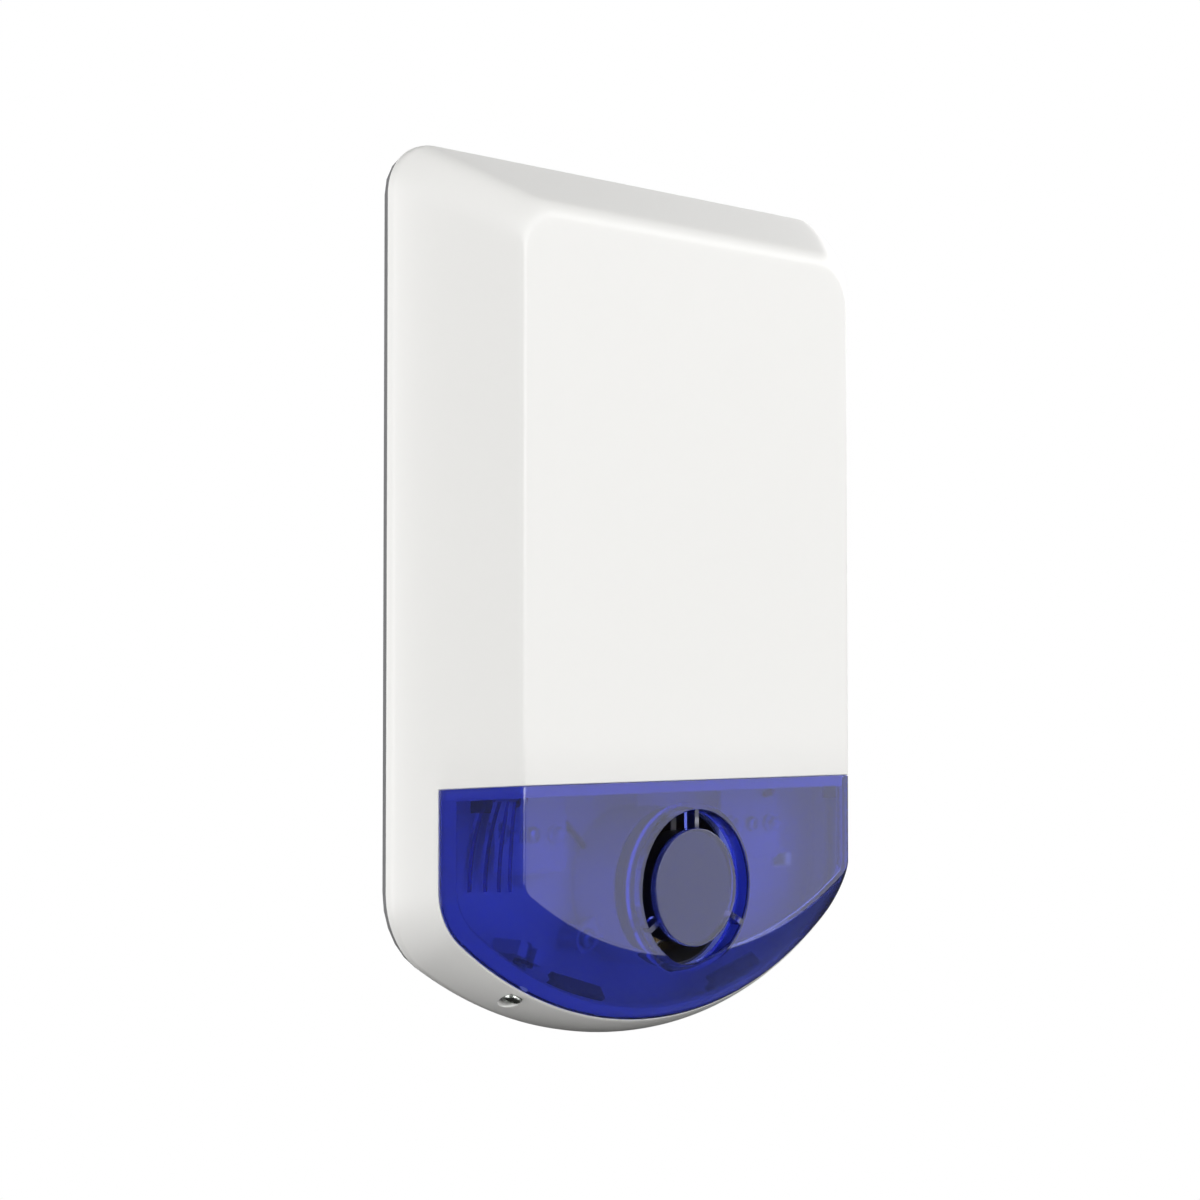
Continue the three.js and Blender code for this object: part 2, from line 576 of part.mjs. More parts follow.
const SOCKET = { width: 9, tall: 7, height: 6, wall: 0.9 };
const SOCKET_Z = 31;
function leadSocket(x) {
  const { width, tall, height, wall } = SOCKET;
  const body = onBoard(x, SOCKET_Z, width, tall, height);
  return cut(body, block([x - width / 2 + wall, -(ON_BOARD + 1.2), SOCKET_Z - tall / 2 + wall],
    [x + width / 2 - wall, -(ON_BOARD + height + 1), SOCKET_Z + tall / 2 - wall]));
}

const PLUG_FACE = ON_BOARD + 8.5;
function leadPlug(x) {
  const half = [SOCKET.width / 2 - SOCKET.wall - GAP, SOCKET.tall / 2 - SOCKET.wall - GAP];
  return block([x - half[0], -(ON_BOARD + 1.6), SOCKET_Z - half[1]],
    [x + half[0], -PLUG_FACE, SOCKET_Z + half[1]]);
}

// ---------------------------------------------------------------- tamper switches and button

// Switch on the board with a sprung plunger that a post inside the cover holds down.
const COVER_SWITCH = { floor: 14.2, lip: 21, face: 21.7, collar: 16.4, collarEnd: 17.7 };
function tamperSwitch() {
  const { x, z } = TAMPER;
  const { floor, lip, face } = COVER_SWITCH;
  const body = onBoard(x, z, 10, 10, face - ON_BOARD);
  return cut(body, rod(3.3, floor, lip, x, z), rod(2.4, floor, face + 1, x, z));
}
function tamperPlunger() {
  const { collar, collarEnd } = COVER_SWITCH;
  return turned([[0, collar], [3, collar], [3, collarEnd], [2, collarEnd], [2, TAMPER.depth - 0.6],
    [1.4, TAMPER.depth], [0, TAMPER.depth]], TAMPER.x, TAMPER.z, 18);
}

// Plunger through the back plate that the wall holds in.
const wallPlunger = () => turned([[0, 0.2], [2, 0.2], [2.6, 0.7], [2.6, 8.5], [4.2, 8.5], [4.2, 10],
  [1.6, 10], [1.6, 15.2], [0, 15.2]], WALL_TAMPER.x, WALL_TAMPER.z, 18);

function wallSwitch() {
  const { x, z } = WALL_TAMPER;
  const body = block([x - 7, -16.3, z - 8], [x + 7, -24, z + 8]);
  return cut(body, rod(2.2, 15, 19.5, x, z, 14));
}

class Helix extends THREE.Curve {
  constructor(x, z, radius, near, far, turns) {
    super();
    Object.assign(this, { x, z, radius, near, far, turns });
  }

  getPoint(t) {
    const angle = 2 * Math.PI * this.turns * t;
    return new THREE.Vector3(this.x + this.radius * Math.cos(angle), -mix(this.near, this.far, t),
      this.z + this.radius * Math.sin(angle));
  }
}
const wallSpring = () => tube(new Helix(WALL_TAMPER.x, WALL_TAMPER.z, 3.1, 10.8, 15.5, 4), 0.3, 48, 4);
const coverSpring = () => tube(new Helix(TAMPER.x, TAMPER.z, 2.6, 14.75, 15.85, 2), 0.22, 24, 4);

const BUTTON = { x: -42, z: 94 };
const buttonBase = () => cut(onBoard(BUTTON.x, BUTTON.z, 6.4, 6.4, 3.6),
  rod(2.1, ON_BOARD + 1.2, ON_BOARD + 5, BUTTON.x, BUTTON.z, 16));
const testButton = () => turned([[0, ON_BOARD + 2], [1.8, ON_BOARD + 2], [1.8, ON_BOARD + 5],
  [1.5, ON_BOARD + 5.4], [0, ON_BOARD + 5.4]], BUTTON.x, BUTTON.z, 16);

// ---------------------------------------------------------------- battery pack

const CELL = { radius: 7.1, length: 49, nub: 1.2, pitch: 14.8, count: 6 };
const CELL_DEPTH = WALL + GAP + CELL.radius;

// A cylindrical cell standing on its flat end, its raised end up.
function batteryCell() {
  const { radius, length, nub } = CELL;
  const profile = [[0, 0], [6.6, 0], [radius, 0.5], [radius, length - 0.5], [6.6, length],
    [2.7, length], [2.7, length + nub], [0, length + nub]];
  const points = profile.map(([r, height]) => new THREE.Vector2(r, height - length / 2));
  return solid(new THREE.LatheGeometry(points, 16).rotateX(Math.PI / 2));
}

function batteryBracket() {
  const half = 5;
  const wrap = CELL.pitch * (CELL.count / 2) + 0.6;
  const front = CELL_DEPTH + CELL.radius + GAP;
  const slab = (x0, x1, near, far) => block([x0, -near, BATTERY_Z - half], [x1, -far, BATTERY_Z + half]);
  const feet = mirrored.map((side) => slab(side * wrap, side * (BRACKET_X + 6), BOARD_DEPTH, BOARD_FACE));
  const risers = mirrored.map((side) => slab(side * wrap, side * (wrap + 1.6), BOARD_DEPTH, front + 1.6));
  const bridge = slab(-wrap - 1.6, wrap + 1.6, front, front + 1.6);
  const holes = mirrored.map((side) =>
    rod(1.7, BOARD_DEPTH - 1, BOARD_FACE + 1, side * BRACKET_X, BATTERY_Z, 14));
  return cut(join(bridge, ...feet, ...risers), ...holes);
}

// ---------------------------------------------------------------- sounder

const HORN_FACE = 28.4;
const PLUG_RADIUS = 19.3; // the horn's middle, which fills the hole behind the lens's disc
const HORN_PLUG_FACE = DEPTH - WALL - 0.5;

function sounderHousing() {
  const cup = turned([[0, 2.8], [27.5, 2.8], [27.5, 24], [25.3, 24], [25.3, 12], [19, 12], [19, 6],
    [0, 6]], 0, SOUND_Z, 28);
  const ears = EAR_ANGLES.map((angle, i) => join(
    rod(4.4, BOARD_DEPTH, BOARD_DEPTH + 2, ...earSpots[i], 16),
    radialBar(90 - angle, 8.8, 26.5, EAR_RADIUS, BOARD_DEPTH, BOARD_DEPTH + 2)));
  const holes = earSpots.map(([x, z]) => rod(1.7, BOARD_DEPTH - 1, BOARD_DEPTH + 3, x, z, 14));
  return cut(join(cup, ...ears), ...holes);
}

const piezoElement = () => rod(22, 12.3, 13.1, 0, SOUND_Z, 28);

function sounderHorn() {
  const throat = turned([[22.6, 13.4], [25, 13.4], [25, 24.3], [27.5, 24.3], [27.5, HORN_FACE],
    [26.2, HORN_FACE], [22.6, 20], [22.6, 13.4]], 0, SOUND_Z, 28);
  const plug = turned([[0, 17], [12, 17], [18, 22], [PLUG_RADIUS, 26], [PLUG_RADIUS, HORN_PLUG_FACE],
    [0, HORN_PLUG_FACE]], 0, SOUND_Z, 28);
  return join(throat, plug, ...SPOKE_ANGLES.map((angle) => radialBar(angle, 3, 16, 24, 21.5, 27)));
}

// ---------------------------------------------------------------- strobe boards

const strobeBoard = (side) => boardBlank(side * STROBE.x - STROBE.width / 2, STROBE.z - STROBE.height / 2,
  side * STROBE.x + STROBE.width / 2, STROBE.z + STROBE.height / 2, [[side * STROBE.x, STROBE.z]]);

const strobeLed = () => turned([[0, 0], [3.2, 0], [3.2, 1.4], [2.6, 1.6], [2.4, 3], [1.5, 4.2], [0, 4.7]]
  .map(([radius, height]) => [radius, ON_BOARD + height]), 0, 0, 12);

// ---------------------------------------------------------------- leads

// Each lead is one tube through points chosen to clear the parts beside it, from end to end.
const LEAD_END = ON_BOARD + 0.2;
const PLUG_END = PLUG_FACE + 0.4;

const strobeLead = (side) => tube([
  [side * 62, -LEAD_END, -69], [side * 62, -18, -67], [side * 60.5, -16, -52],
  [side * 60.5, -7, -30], [side * 60.5, -7, -5], [side * 60, -13, 10],
  [side * 59, -19, 19], [side * 57, -18, 34], [side * 57, -LEAD_END, 36],
], 0.9, 30, 6);

const batteryLead = () => tube([
  [37, -10, 1.6], [37, -10.5, 7], [37.5, -15, 13], [BATTERY_SOCKET_X, -24, 22],
  [BATTERY_SOCKET_X, -26, 30], [BATTERY_SOCKET_X, -PLUG_END, SOCKET_Z],
], 1.2, 22, 6);

const sounderLead = () => tube([
  [-24.5, -6.5, -84.5], [-36, -6.5, -74], [-50, -6, -66], [-64, -6, -52], [-66, -6, -8],
  [-58, -5.5, 5], [-46, -9, 10], [SOUNDER_SOCKET_X, -23, 21], [SOUNDER_SOCKET_X, -26, 30],
  [SOUNDER_SOCKET_X, -PLUG_END, SOCKET_Z],
], 1.1, 40, 6);

// ---------------------------------------------------------------- assembly in order

add('back_plate', WHITE_ABS, backPlate());
add('wall_seal', FOAM, wallSeal());
add('cable_grommet', RUBBER, cableGrommet());

add('main_board', BOARD_GREEN, boardBlank(BOARD.x0, BOARD.z0, BOARD.x1, BOARD.z1, BOARD_HOLES));
BOARD_HOLES.forEach(([x, z], i) => addScrew(`board_screw_${i + 1}`, x, z, BOARD_FACE));
add('controller_chip', BLACK_ABS, onBoard(CHIP.x, CHIP.z, CHIP.size, CHIP.size, CHIP.height));
add('driver_coil', COPPER, driverCoil(), [COIL.x, 0, COIL.z]);
add('reservoir_capacitor', BLACK_ABS, capacitor(), [CAPACITOR.x, 0, CAPACITOR.z]);
add('terminal_block', TERMINAL_GREEN, terminalBlock());
add('jumper_header', BLACK_ABS, jumperHeader());
add('battery_socket', WHITE_ABS, leadSocket(BATTERY_SOCKET_X));
add('battery_plug', WHITE_ABS, leadPlug(BATTERY_SOCKET_X));
add('sounder_socket', WHITE_ABS, leadSocket(SOUNDER_SOCKET_X));
add('sounder_plug', WHITE_ABS, leadPlug(SOUNDER_SOCKET_X));
add('tamper_switch', BLACK_ABS, tamperSwitch());
add('tamper_spring', ZINC, coverSpring());
add('tamper_plunger', WHITE_ABS, tamperPlunger());
add('button_base', BLACK_ABS, buttonBase());
add('test_button', GREY_ABS, testButton());

add('wall_tamper_plunger', GREY_ABS, wallPlunger());
add('wall_tamper_spring', ZINC, wallSpring());
add('wall_tamper_switch', BLACK_ABS, wallSwitch());

const cell = batteryCell();
for (let i = 0; i < CELL.count; i++) {
  const x = (i - (CELL.count - 1) / 2) * CELL.pitch;
  add(`battery_cell_${i + 1}`, CELL_SLEEVE, cell, [x, -CELL_DEPTH, BATTERY_Z]);
}
add('battery_bracket', GREY_ABS, batteryBracket());
mirrored.forEach((side, i) => addScrew(`bracket_screw_${i + 1}`, side * BRACKET_X, BATTERY_Z, BOARD_FACE));

add('sounder_housing', WHITE_ABS, sounderHousing());
add('piezo_element', BRASS, piezoElement());
add('sounder_horn', BLACK_ABS, sounderHorn());
earSpots.forEach(([x, z], i) => addScrew(`sounder_screw_${i + 1}`, x, z, BOARD_DEPTH + 2));

mirrored.forEach((side) => {
  const hand = handOf(side);
  add(`strobe_board_${hand}`, BOARD_WHITE, strobeBoard(side));
  addScrew(`strobe_screw_${hand}`, side * STROBE.x, STROBE.z, BOARD_FACE);
  mirrored.forEach((step, i) =>
    add(`strobe_led_${hand}_${i + 1}`, LED_CLEAR, strobeLed(),
      [side * STROBE.x + step * STROBE.ledShift, 0, STROBE.z]));
  add(`strobe_lead_${hand}`, RED_WIRE, strobeLead(side));
});
add('battery_lead', RED_WIRE, batteryLead());
add('sounder_lead', BLACK_ABS, sounderLead());

add('front_cover', WHITE_ABS, frontCover());
add('siren_lens', BLUE_LENS, sirenLens());
mirrored.forEach((side) => {
  add(`lens_clip_upper_${handOf(side)}`, BLACK_ABS, upperClip(side));
  add(`lens_clip_lower_${handOf(side)}`, BLACK_ABS, lowerClip(side));
});
add('cover_screw', ZINC, coverScrew());
add('cover_screw_washer', RUBBER, screwWasher());

export default siren;
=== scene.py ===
# Looks for the wall-mounted alarm siren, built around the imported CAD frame.
# Everything is drawn in millimetres in the CAD frame and scaled to metres when a mesh is made.
import functools
import json
import math
import bmesh
import bpy
from mathutils import Matrix, Vector


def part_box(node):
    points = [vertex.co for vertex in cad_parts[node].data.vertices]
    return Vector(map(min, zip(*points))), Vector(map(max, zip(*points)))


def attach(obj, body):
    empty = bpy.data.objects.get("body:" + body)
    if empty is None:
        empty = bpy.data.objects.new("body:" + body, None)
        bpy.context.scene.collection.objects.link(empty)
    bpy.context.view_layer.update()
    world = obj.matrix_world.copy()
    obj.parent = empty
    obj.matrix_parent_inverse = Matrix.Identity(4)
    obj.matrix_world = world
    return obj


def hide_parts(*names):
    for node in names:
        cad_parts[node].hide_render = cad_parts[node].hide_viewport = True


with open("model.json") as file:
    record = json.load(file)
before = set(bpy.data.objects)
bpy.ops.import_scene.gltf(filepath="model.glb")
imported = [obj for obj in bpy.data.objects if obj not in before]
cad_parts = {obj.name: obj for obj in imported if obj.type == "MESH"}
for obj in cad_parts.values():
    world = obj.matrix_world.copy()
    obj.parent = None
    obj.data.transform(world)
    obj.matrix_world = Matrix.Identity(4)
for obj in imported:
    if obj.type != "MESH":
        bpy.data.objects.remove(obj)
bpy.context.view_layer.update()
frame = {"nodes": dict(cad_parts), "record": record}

MM = 0.001

# ------------------------------------------------------------------ driving sizes

case_low, case_high = (Vector(corner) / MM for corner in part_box("front_cover"))
WIDTH = case_high.x - case_low.x
HEIGHT = case_high.z - case_low.z
DEPTH = -case_low.y
SKIRT_START = -case_high.y
WALL = 2.5
RIM_DEPTH = 5.5  # where the skirt ends and the slopes begin
RIM_ROUND = 4
RUN = DEPTH - RIM_DEPTH
FRONT_WIDTH = 162.6
FRONT_TOP = 129.0
FRONT_BOTTOM = -121.3
SIDE_END = (-96, -92.5)  # lower end of the straight sides, at the rim and at the front
CORNER = (18, 14)  # upper corner radius, at the rim and at the front
ARC_END = (-112, -95.5)  # where the bottom arc would meet the sides, at the rim and at the front
LENS_TOP = -61.4
LENS_TILT = 0.065
LENS_REAR = 18.5
SEAM = 0.15
GAP = 0.3
LEDGE = 4.0
LEDGE_THICK = 1.5
SOUND_Z = -98.2
DISC_RADIUS = 20.3
SLOT_RADIUS = 26.7


def mix(a, b, t):
    return a + (b - a) * t


def clamp(value, low=0.0, high=1.0):
    return max(low, min(high, value))


# ------------------------------------------------------------------ camera

FOCAL = 76.4
CAMERA_AT = Vector((-0.6443, -0.6381, -0.0318))
HEADING = math.radians(44.86)
PITCH = math.radians(2.125)


def make_camera():
    data = bpy.data.cameras.new("camera")
    data.sensor_width = 36
    data.lens = FOCAL
    camera = bpy.data.objects.new("camera", data)
    bpy.context.scene.collection.objects.link(camera)
    camera.location = CAMERA_AT
    level = math.cos(PITCH)
    look = Vector((math.sin(HEADING) * level, math.cos(HEADING) * level, math.sin(PITCH)))
    camera.rotation_euler = look.to_track_quat("-Z", "Y").to_euler()
    bpy.context.scene.camera = camera


make_camera()

# ------------------------------------------------------------------ mesh helpers


def new_object(name, verts, faces, smooth=True):
    mesh = bpy.data.meshes.new(name)
    mesh.from_pydata([Vector(v) * MM for v in verts], [], faces)
    mesh.validate()
    mesh.update()
    obj = bpy.data.objects.new(name, mesh)
    bpy.context.scene.collection.objects.link(obj)
    for polygon in mesh.polygons:
        polygon.use_smooth = smooth
    return obj


def apply_modifiers(obj):
    depsgraph = bpy.context.evaluated_depsgraph_get()
    mesh = bpy.data.meshes.new_from_object(obj.evaluated_get(depsgraph))
    obj.modifiers.clear()
    obj.data = mesh
    return obj


def boolean(obj, tool, operation):
    modifier = obj.modifiers.new("cut", "BOOLEAN")
    modifier.operation = operation
    modifier.object = tool
    modifier.solver = "EXACT"
    apply_modifiers(obj)
    bpy.data.objects.remove(tool)
    return obj


def bevel(obj, width, segments=3, angle=50):
    modifier = obj.modifiers.new("edge", "BEVEL")
    modifier.width = width * MM
    modifier.segments = segments
    modifier.limit_method = "ANGLE"
    modifier.angle_limit = math.radians(angle)
    modifier.harden_normals = False
    return apply_modifiers(obj)


def smooth_by_angle(obj, degrees=35):
    mesh = obj.data
    mesh.polygons.foreach_set("use_smooth", [True] * len(mesh.polygons))
    mesh.set_sharp_from_angle(angle=math.radians(degrees))
    return obj


def lathe(name, profile, x=0.0, z=0.0, segments=96):
    """A solid of revolution about the front-to-back line through (x, z); profile is (radius, depth) pairs."""
    verts = []
    rows = []
    for radius, depth in profile:
        if radius == 0:
            rows.append([len(verts)])
            verts.append((x, -depth, z))
            continue
        rows.append(list(range(len(verts), len(verts) + segments)))
        for i in range(segments):
            angle = 2 * math.pi * i / segments
            verts.append((x + radius * math.cos(angle), -depth, z + radius * math.sin(angle)))
    pairs = list(zip(rows, rows[1:]))
    if profile[0][0] != 0:
        pairs.append((rows[-1], rows[0]))
    faces = []
    for low, high in pairs:
        for i in range(segments):
            j = (i + 1) % segments
            if len(low) == 1 and len(high) == 1:
                continue
            if len(low) == 1:
                faces.append((low[0], high[j], high[i]))
            elif len(high) == 1:
                faces.append((low[i], low[j], high[0]))
            else:
                faces.append((low[i], low[j], high[j], high[i]))
    obj = new_object(name, verts, faces)
    recalculate(obj)
    return obj


def recalculate(obj):
    work = bmesh.new()
    work.from_mesh(obj.data)
    bmesh.ops.recalc_face_normals(work, faces=work.faces)
    work.to_mesh(obj.data)
    work.free()


def box_piece(name, low, high):
    (x0, y0, z0), (x1, y1, z1) = low, high
    verts = [(x, y, z) for x in (x0, x1) for y in (y0, y1) for z in (z0, z1)]
    faces = [(0, 1, 3, 2), (4, 6, 7, 5), (0, 4, 5, 1), (2, 3, 7, 6), (0, 2, 6, 4), (1, 5, 7, 3)]
    obj = new_object(name, verts, faces, smooth=False)
    recalculate(obj)
    return obj


# ------------------------------------------------------------------ outer form

# Total draw, how much of it comes late, fold radius at the front face.
DRAW = {
    "side": ((WIDTH - FRONT_WIDTH) / 2, 0.35, 2.4),
    "top": (HEIGHT / 2 - FRONT_TOP, 0.1, 9.0),
    "bottom": (HEIGHT / 2 + FRONT_BOTTOM, 0.9, 2.4),
}


def draw_at(face, depth):
    """How far a face has drawn in at a depth: skirt, rounding, gently curved slope, front fold."""
    total, late, fold = DRAW[face]
    run = depth - RIM_DEPTH
    start = math.atan(total / RUN * (1 - late))
    tangent = RIM_ROUND * math.tan(start / 2)
    if run <= -tangent:
        return 0.0
    if run < -tangent + RIM_ROUND * math.sin(start):
        return RIM_ROUND - math.sqrt(RIM_ROUND ** 2 - (run + tangent) ** 2)
    slope = total / RUN * (1 + late)
    end = math.atan(slope)
    centre_run = RUN - fold
    centre_draw = total - slope * fold + fold / math.cos(end)
    if run > centre_run + fold * math.sin(end):
        return centre_draw - math.sqrt(max(fold ** 2 - (run - centre_run) ** 2, 0))
    s = run / RUN
    return total * ((1 - late) * s + late * s * s)


TOP_STEPS, CORNER_STEPS, UPPER_STEPS = 6, 16, 12
LOWER_STEPS, BLEND_STEPS, ARC_STEPS = 5, 14, 26
LEAST_CORNER = 2
SPLIT = TOP_STEPS + CORNER_STEPS + UPPER_STEPS  # the column at the lens's top edge


def slope_share(depth):
    """0 at the rim, 1 at the front face."""
    return clamp((depth - RIM_DEPTH) / RUN)


def lens_top_at(depth):
    return LENS_TOP - LENS_TILT * (DEPTH - depth)


def half_outline(depth, inset, shift):
    """Right half of the outline at a depth, from the middle of the top clockwise, one point a column."""
    t = slope_share(depth)
    half = WIDTH / 2 - draw_at("side", depth) - inset
    top = HEIGHT / 2 - draw_at("top", depth) - inset
    bottom = -HEIGHT / 2 + draw_at("bottom", depth) + inset
    corner = max(mix(*CORNER, t) - inset, LEAST_CORNER)
    rise = mix(*ARC_END, t) + HEIGHT / 2 - draw_at("bottom", depth)
    arc = ((half + inset) ** 2 + rise ** 2) / (2 * rise) - inset
    centre = bottom + arc
    side_end = mix(*SIDE_END, t)
    blend = (arc ** 2 - half ** 2 - (centre - side_end) ** 2) / (2 * (arc - half))
    blend_angle = math.atan2(side_end - centre, half - blend)
    split = lens_top_at(depth) + shift
    points = [((half - corner) * i / TOP_STEPS, top) for i in range(TOP_STEPS)]

    def sweep(x, z, radius, start, stop, steps, first):
        for i in range(first, steps + 1):
            angle = mix(start, stop, i / steps)
            points.append((x + radius * math.cos(angle), z + radius * math.sin(angle)))

    sweep(half - corner, top - corner, corner, math.pi / 2, 0, CORNER_STEPS, 0)
    points += [(half, mix(top - corner, split, i / UPPER_STEPS)) for i in range(1, UPPER_STEPS + 1)]
    points += [(half, mix(split, side_end, i / LOWER_STEPS)) for i in range(1, LOWER_STEPS)]
    sweep(half - blend, side_end, blend, 0, blend_angle, BLEND_STEPS, 0)
    sweep(0, centre, arc, blend_angle, -math.pi / 2, ARC_STEPS, 1)
    return points


def whole_ring(depth, inset=0.0, shift=0.0):
    right = half_outline(depth, inset, shift)
    return right + [(-x, z) for x, z in right[-2:0:-1]]


COLUMNS = len(whole_ring(0))
UPPER = list(range(-SPLIT, SPLIT + 1))  # columns of the cover above the lens
LOWER = list(range(SPLIT, COLUMNS - SPLIT + 1))  # columns of the lens
FOLD_ANGLES = (60, 52, 45, 39, 33, 28, 23, 18, 13, 8, 4, 0)
FOLD_DEPTHS = [DEPTH - DRAW["top"][2] * (1 - math.cos(math.radians(a))) for a in FOLD_ANGLES]
SKIRT_DEPTHS = [SKIRT_START, 3.1, 3.6, 4.0, 4.4, 4.8, 5.2, 5.6, 6.0, 6.5, 7.2, 8.2, 9.5,
                11, 12.5, 14, 15.5, 17]
SLOPE_DEPTHS = [20, 22, 24, 26, 28, 30, 32]
DRAW_IN = 0.42  # how much of an inset lies in the outline's plane at the front face
FACE_MARGIN = 1.5  # width of the quads round the front face


@functools.lru_cache(maxsize=None)
def lofted_ring(depth, inset, shift):
    """The outer form's ring at a depth, or the same ring drawn in by an inset."""
    t = slope_share(depth)
    placed = mix(depth, depth - inset, t)
    return [(x, -placed, z) for x, z in whole_ring(depth, inset * mix(1, DRAW_IN, t), shift)]


def lofted_point(depth, column, inset, shift):
    return lofted_ring(depth, inset, shift)[column % COLUMNS]


def shell(name, full_depths, part_depths, columns, thickness, shift):
    """A moulded wall: full rings at the first depths, then only some columns up to the front face."""
    faces_out = []
    keys = []
    index = {}

    def at(depth, column, margin=0.0):
        key = (depth, column % COLUMNS, margin)
        if key not in index:
            index[key] = len(keys)
            keys.append(key)
        return index[key]

    for a, b in zip(full_depths, full_depths[1:]):
        for column in range(COLUMNS):
            faces_out.append((at(a, column), at(a, column + 1), at(b, column + 1), at(b, column)))
    open_depths = full_depths[-1:] + part_depths
    for a, b in zip(open_depths, open_depths[1:]):
        for column, following in zip(columns, columns[1:]):
            faces_out.append((at(a, column), at(a, following), at(b, following), at(b, column)))
    last = open_depths[-1]
    for column, following in zip(columns, columns[1:]):
        rim = (at(last, column), at(last, following))
        faces_out.append((*rim, at(last, following, FACE_MARGIN), at(last, column, FACE_MARGIN)))
    faces_out.append([at(last, column, FACE_MARGIN) for column in columns])
    count = len(keys)
    verts = []
    for inset in (0.0, thickness):
        for depth, column, margin in keys:
            x, y, z = lofted_point(depth, column, inset, shift)
            if margin:
                x, z = whole_ring(depth, inset * DRAW_IN + margin, shift)[column]
            verts.append((x, y, z))
    used = dict.fromkeys(edge for face in faces_out for edge in zip(face, list(face[1:]) + [face[0]]))
    faces = [list(face) for face in faces_out]
    faces += [[count + i for i in reversed(face)] for face in faces_out]
    for a, b in used:
        if (b, a) not in used:
            faces.append([b, a, count + a, count + b])
    obj = new_object(name, verts, faces)
    recalculate(obj)
    return obj


# ------------------------------------------------------------------ materials


def material(name, build):
    made = bpy.data.materials.new(name)
    made.use_nodes = True
    nodes = made.node_tree.nodes
    links = made.node_tree.links
    build(nodes, links, nodes["Principled BSDF"])
    return made


def noise(nodes, links, scale, detail=4.0, roughness=0.5):
    coordinates = nodes.new("ShaderNodeTexCoord")
    texture = nodes.new("ShaderNodeTexNoise")
    texture.inputs["Scale"].default_value = scale
    texture.inputs["Detail"].default_value = detail
    texture.inputs["Roughness"].default_value = roughness
    links.new(coordinates.outputs["Object"], texture.inputs["Vector"])
    return texture.outputs["Fac"]


def ranged(nodes, links, value, low, high, start=0.3, stop=0.7):
    node = nodes.new("ShaderNodeMapRange")
    node.inputs["From Min"].default_value = start
    node.inputs["From Max"].default_value = stop
    node.inputs["To Min"].default_value = low
    node.inputs["To Max"].default_value = high
    links.new(value, node.inputs["Value"])
    return node.outputs["Result"]


def two_tone(nodes, links, value, first, second):
    node = nodes.new("ShaderNodeMix")
    node.data_type = "RGBA"
    links.new(value, node.inputs[0])
    node.inputs[6].default_value = (*first, 1)
    node.inputs[7].default_value = (*second, 1)
    return node.outputs[2]


def bump(nodes, links, shader, height, strength, distance):
    node = nodes.new("ShaderNodeBump")
    node.inputs["Strength"].default_value = strength
    node.inputs["Distance"].default_value = distance
    links.new(height, node.inputs["Height"])
    links.new(node.outputs["Normal"], shader.inputs["Normal"])


def moulded(first, second, rough, grain=900.0, grain_depth=0.00002, coat=0.0, strength=0.15):
    """Moulded plastic: a slight mottle in colour and gloss, and a fine spark-eroded grain."""
    def build(nodes, links, shader):
        mottle = noise(nodes, links, 14.0)
        blended = two_tone(nodes, links, ranged(nodes, links, mottle, 0, 1, 0.1, 0.9), first, second)
        links.new(blended, shader.inputs["Base Color"])
        smear = noise(nodes, links, 45.0, 6.0, 0.6)
        uneven = ranged(nodes, links, smear, rough - 0.02, rough + 0.03, 0.0, 1.0)
        links.new(uneven, shader.inputs["Roughness"])
        fine = noise(nodes, links, grain, 1.0)
        bump(nodes, links, shader, fine, strength, grain_depth)
        shader.inputs["Coat Weight"].default_value = coat
        shader.inputs["Coat Roughness"].default_value = 0.15
    return build


def lens_plastic(nodes, links, shader):
    """Tinted acrylic: slightly frosted, so that what lies behind it softens, with a clear glossy skin."""
    mottle = ranged(nodes, links, noise(nodes, links, 9.0), 0, 1)
    colour = two_tone(nodes, links, mottle, (0.13, 0.17, 0.68), (0.14, 0.18, 0.72))
    links.new(colour, shader.inputs["Base Color"])
    frost = noise(nodes, links, 60.0, 5.0)
    links.new(ranged(nodes, links, frost, 0.1, 0.13), shader.inputs["Roughness"])
    shader.inputs["Transmission Weight"].default_value = 0.95
    shader.inputs["IOR"].default_value = 1.3
    shader.inputs["Coat Weight"].default_value = 1.0
    shader.inputs["Coat Roughness"].default_value = 0.05
    shader.inputs["Coat IOR"].default_value = 1.5
    bump(nodes, links, shader, noise(nodes, links, 120.0, 1.0), 0.05, 0.00001)


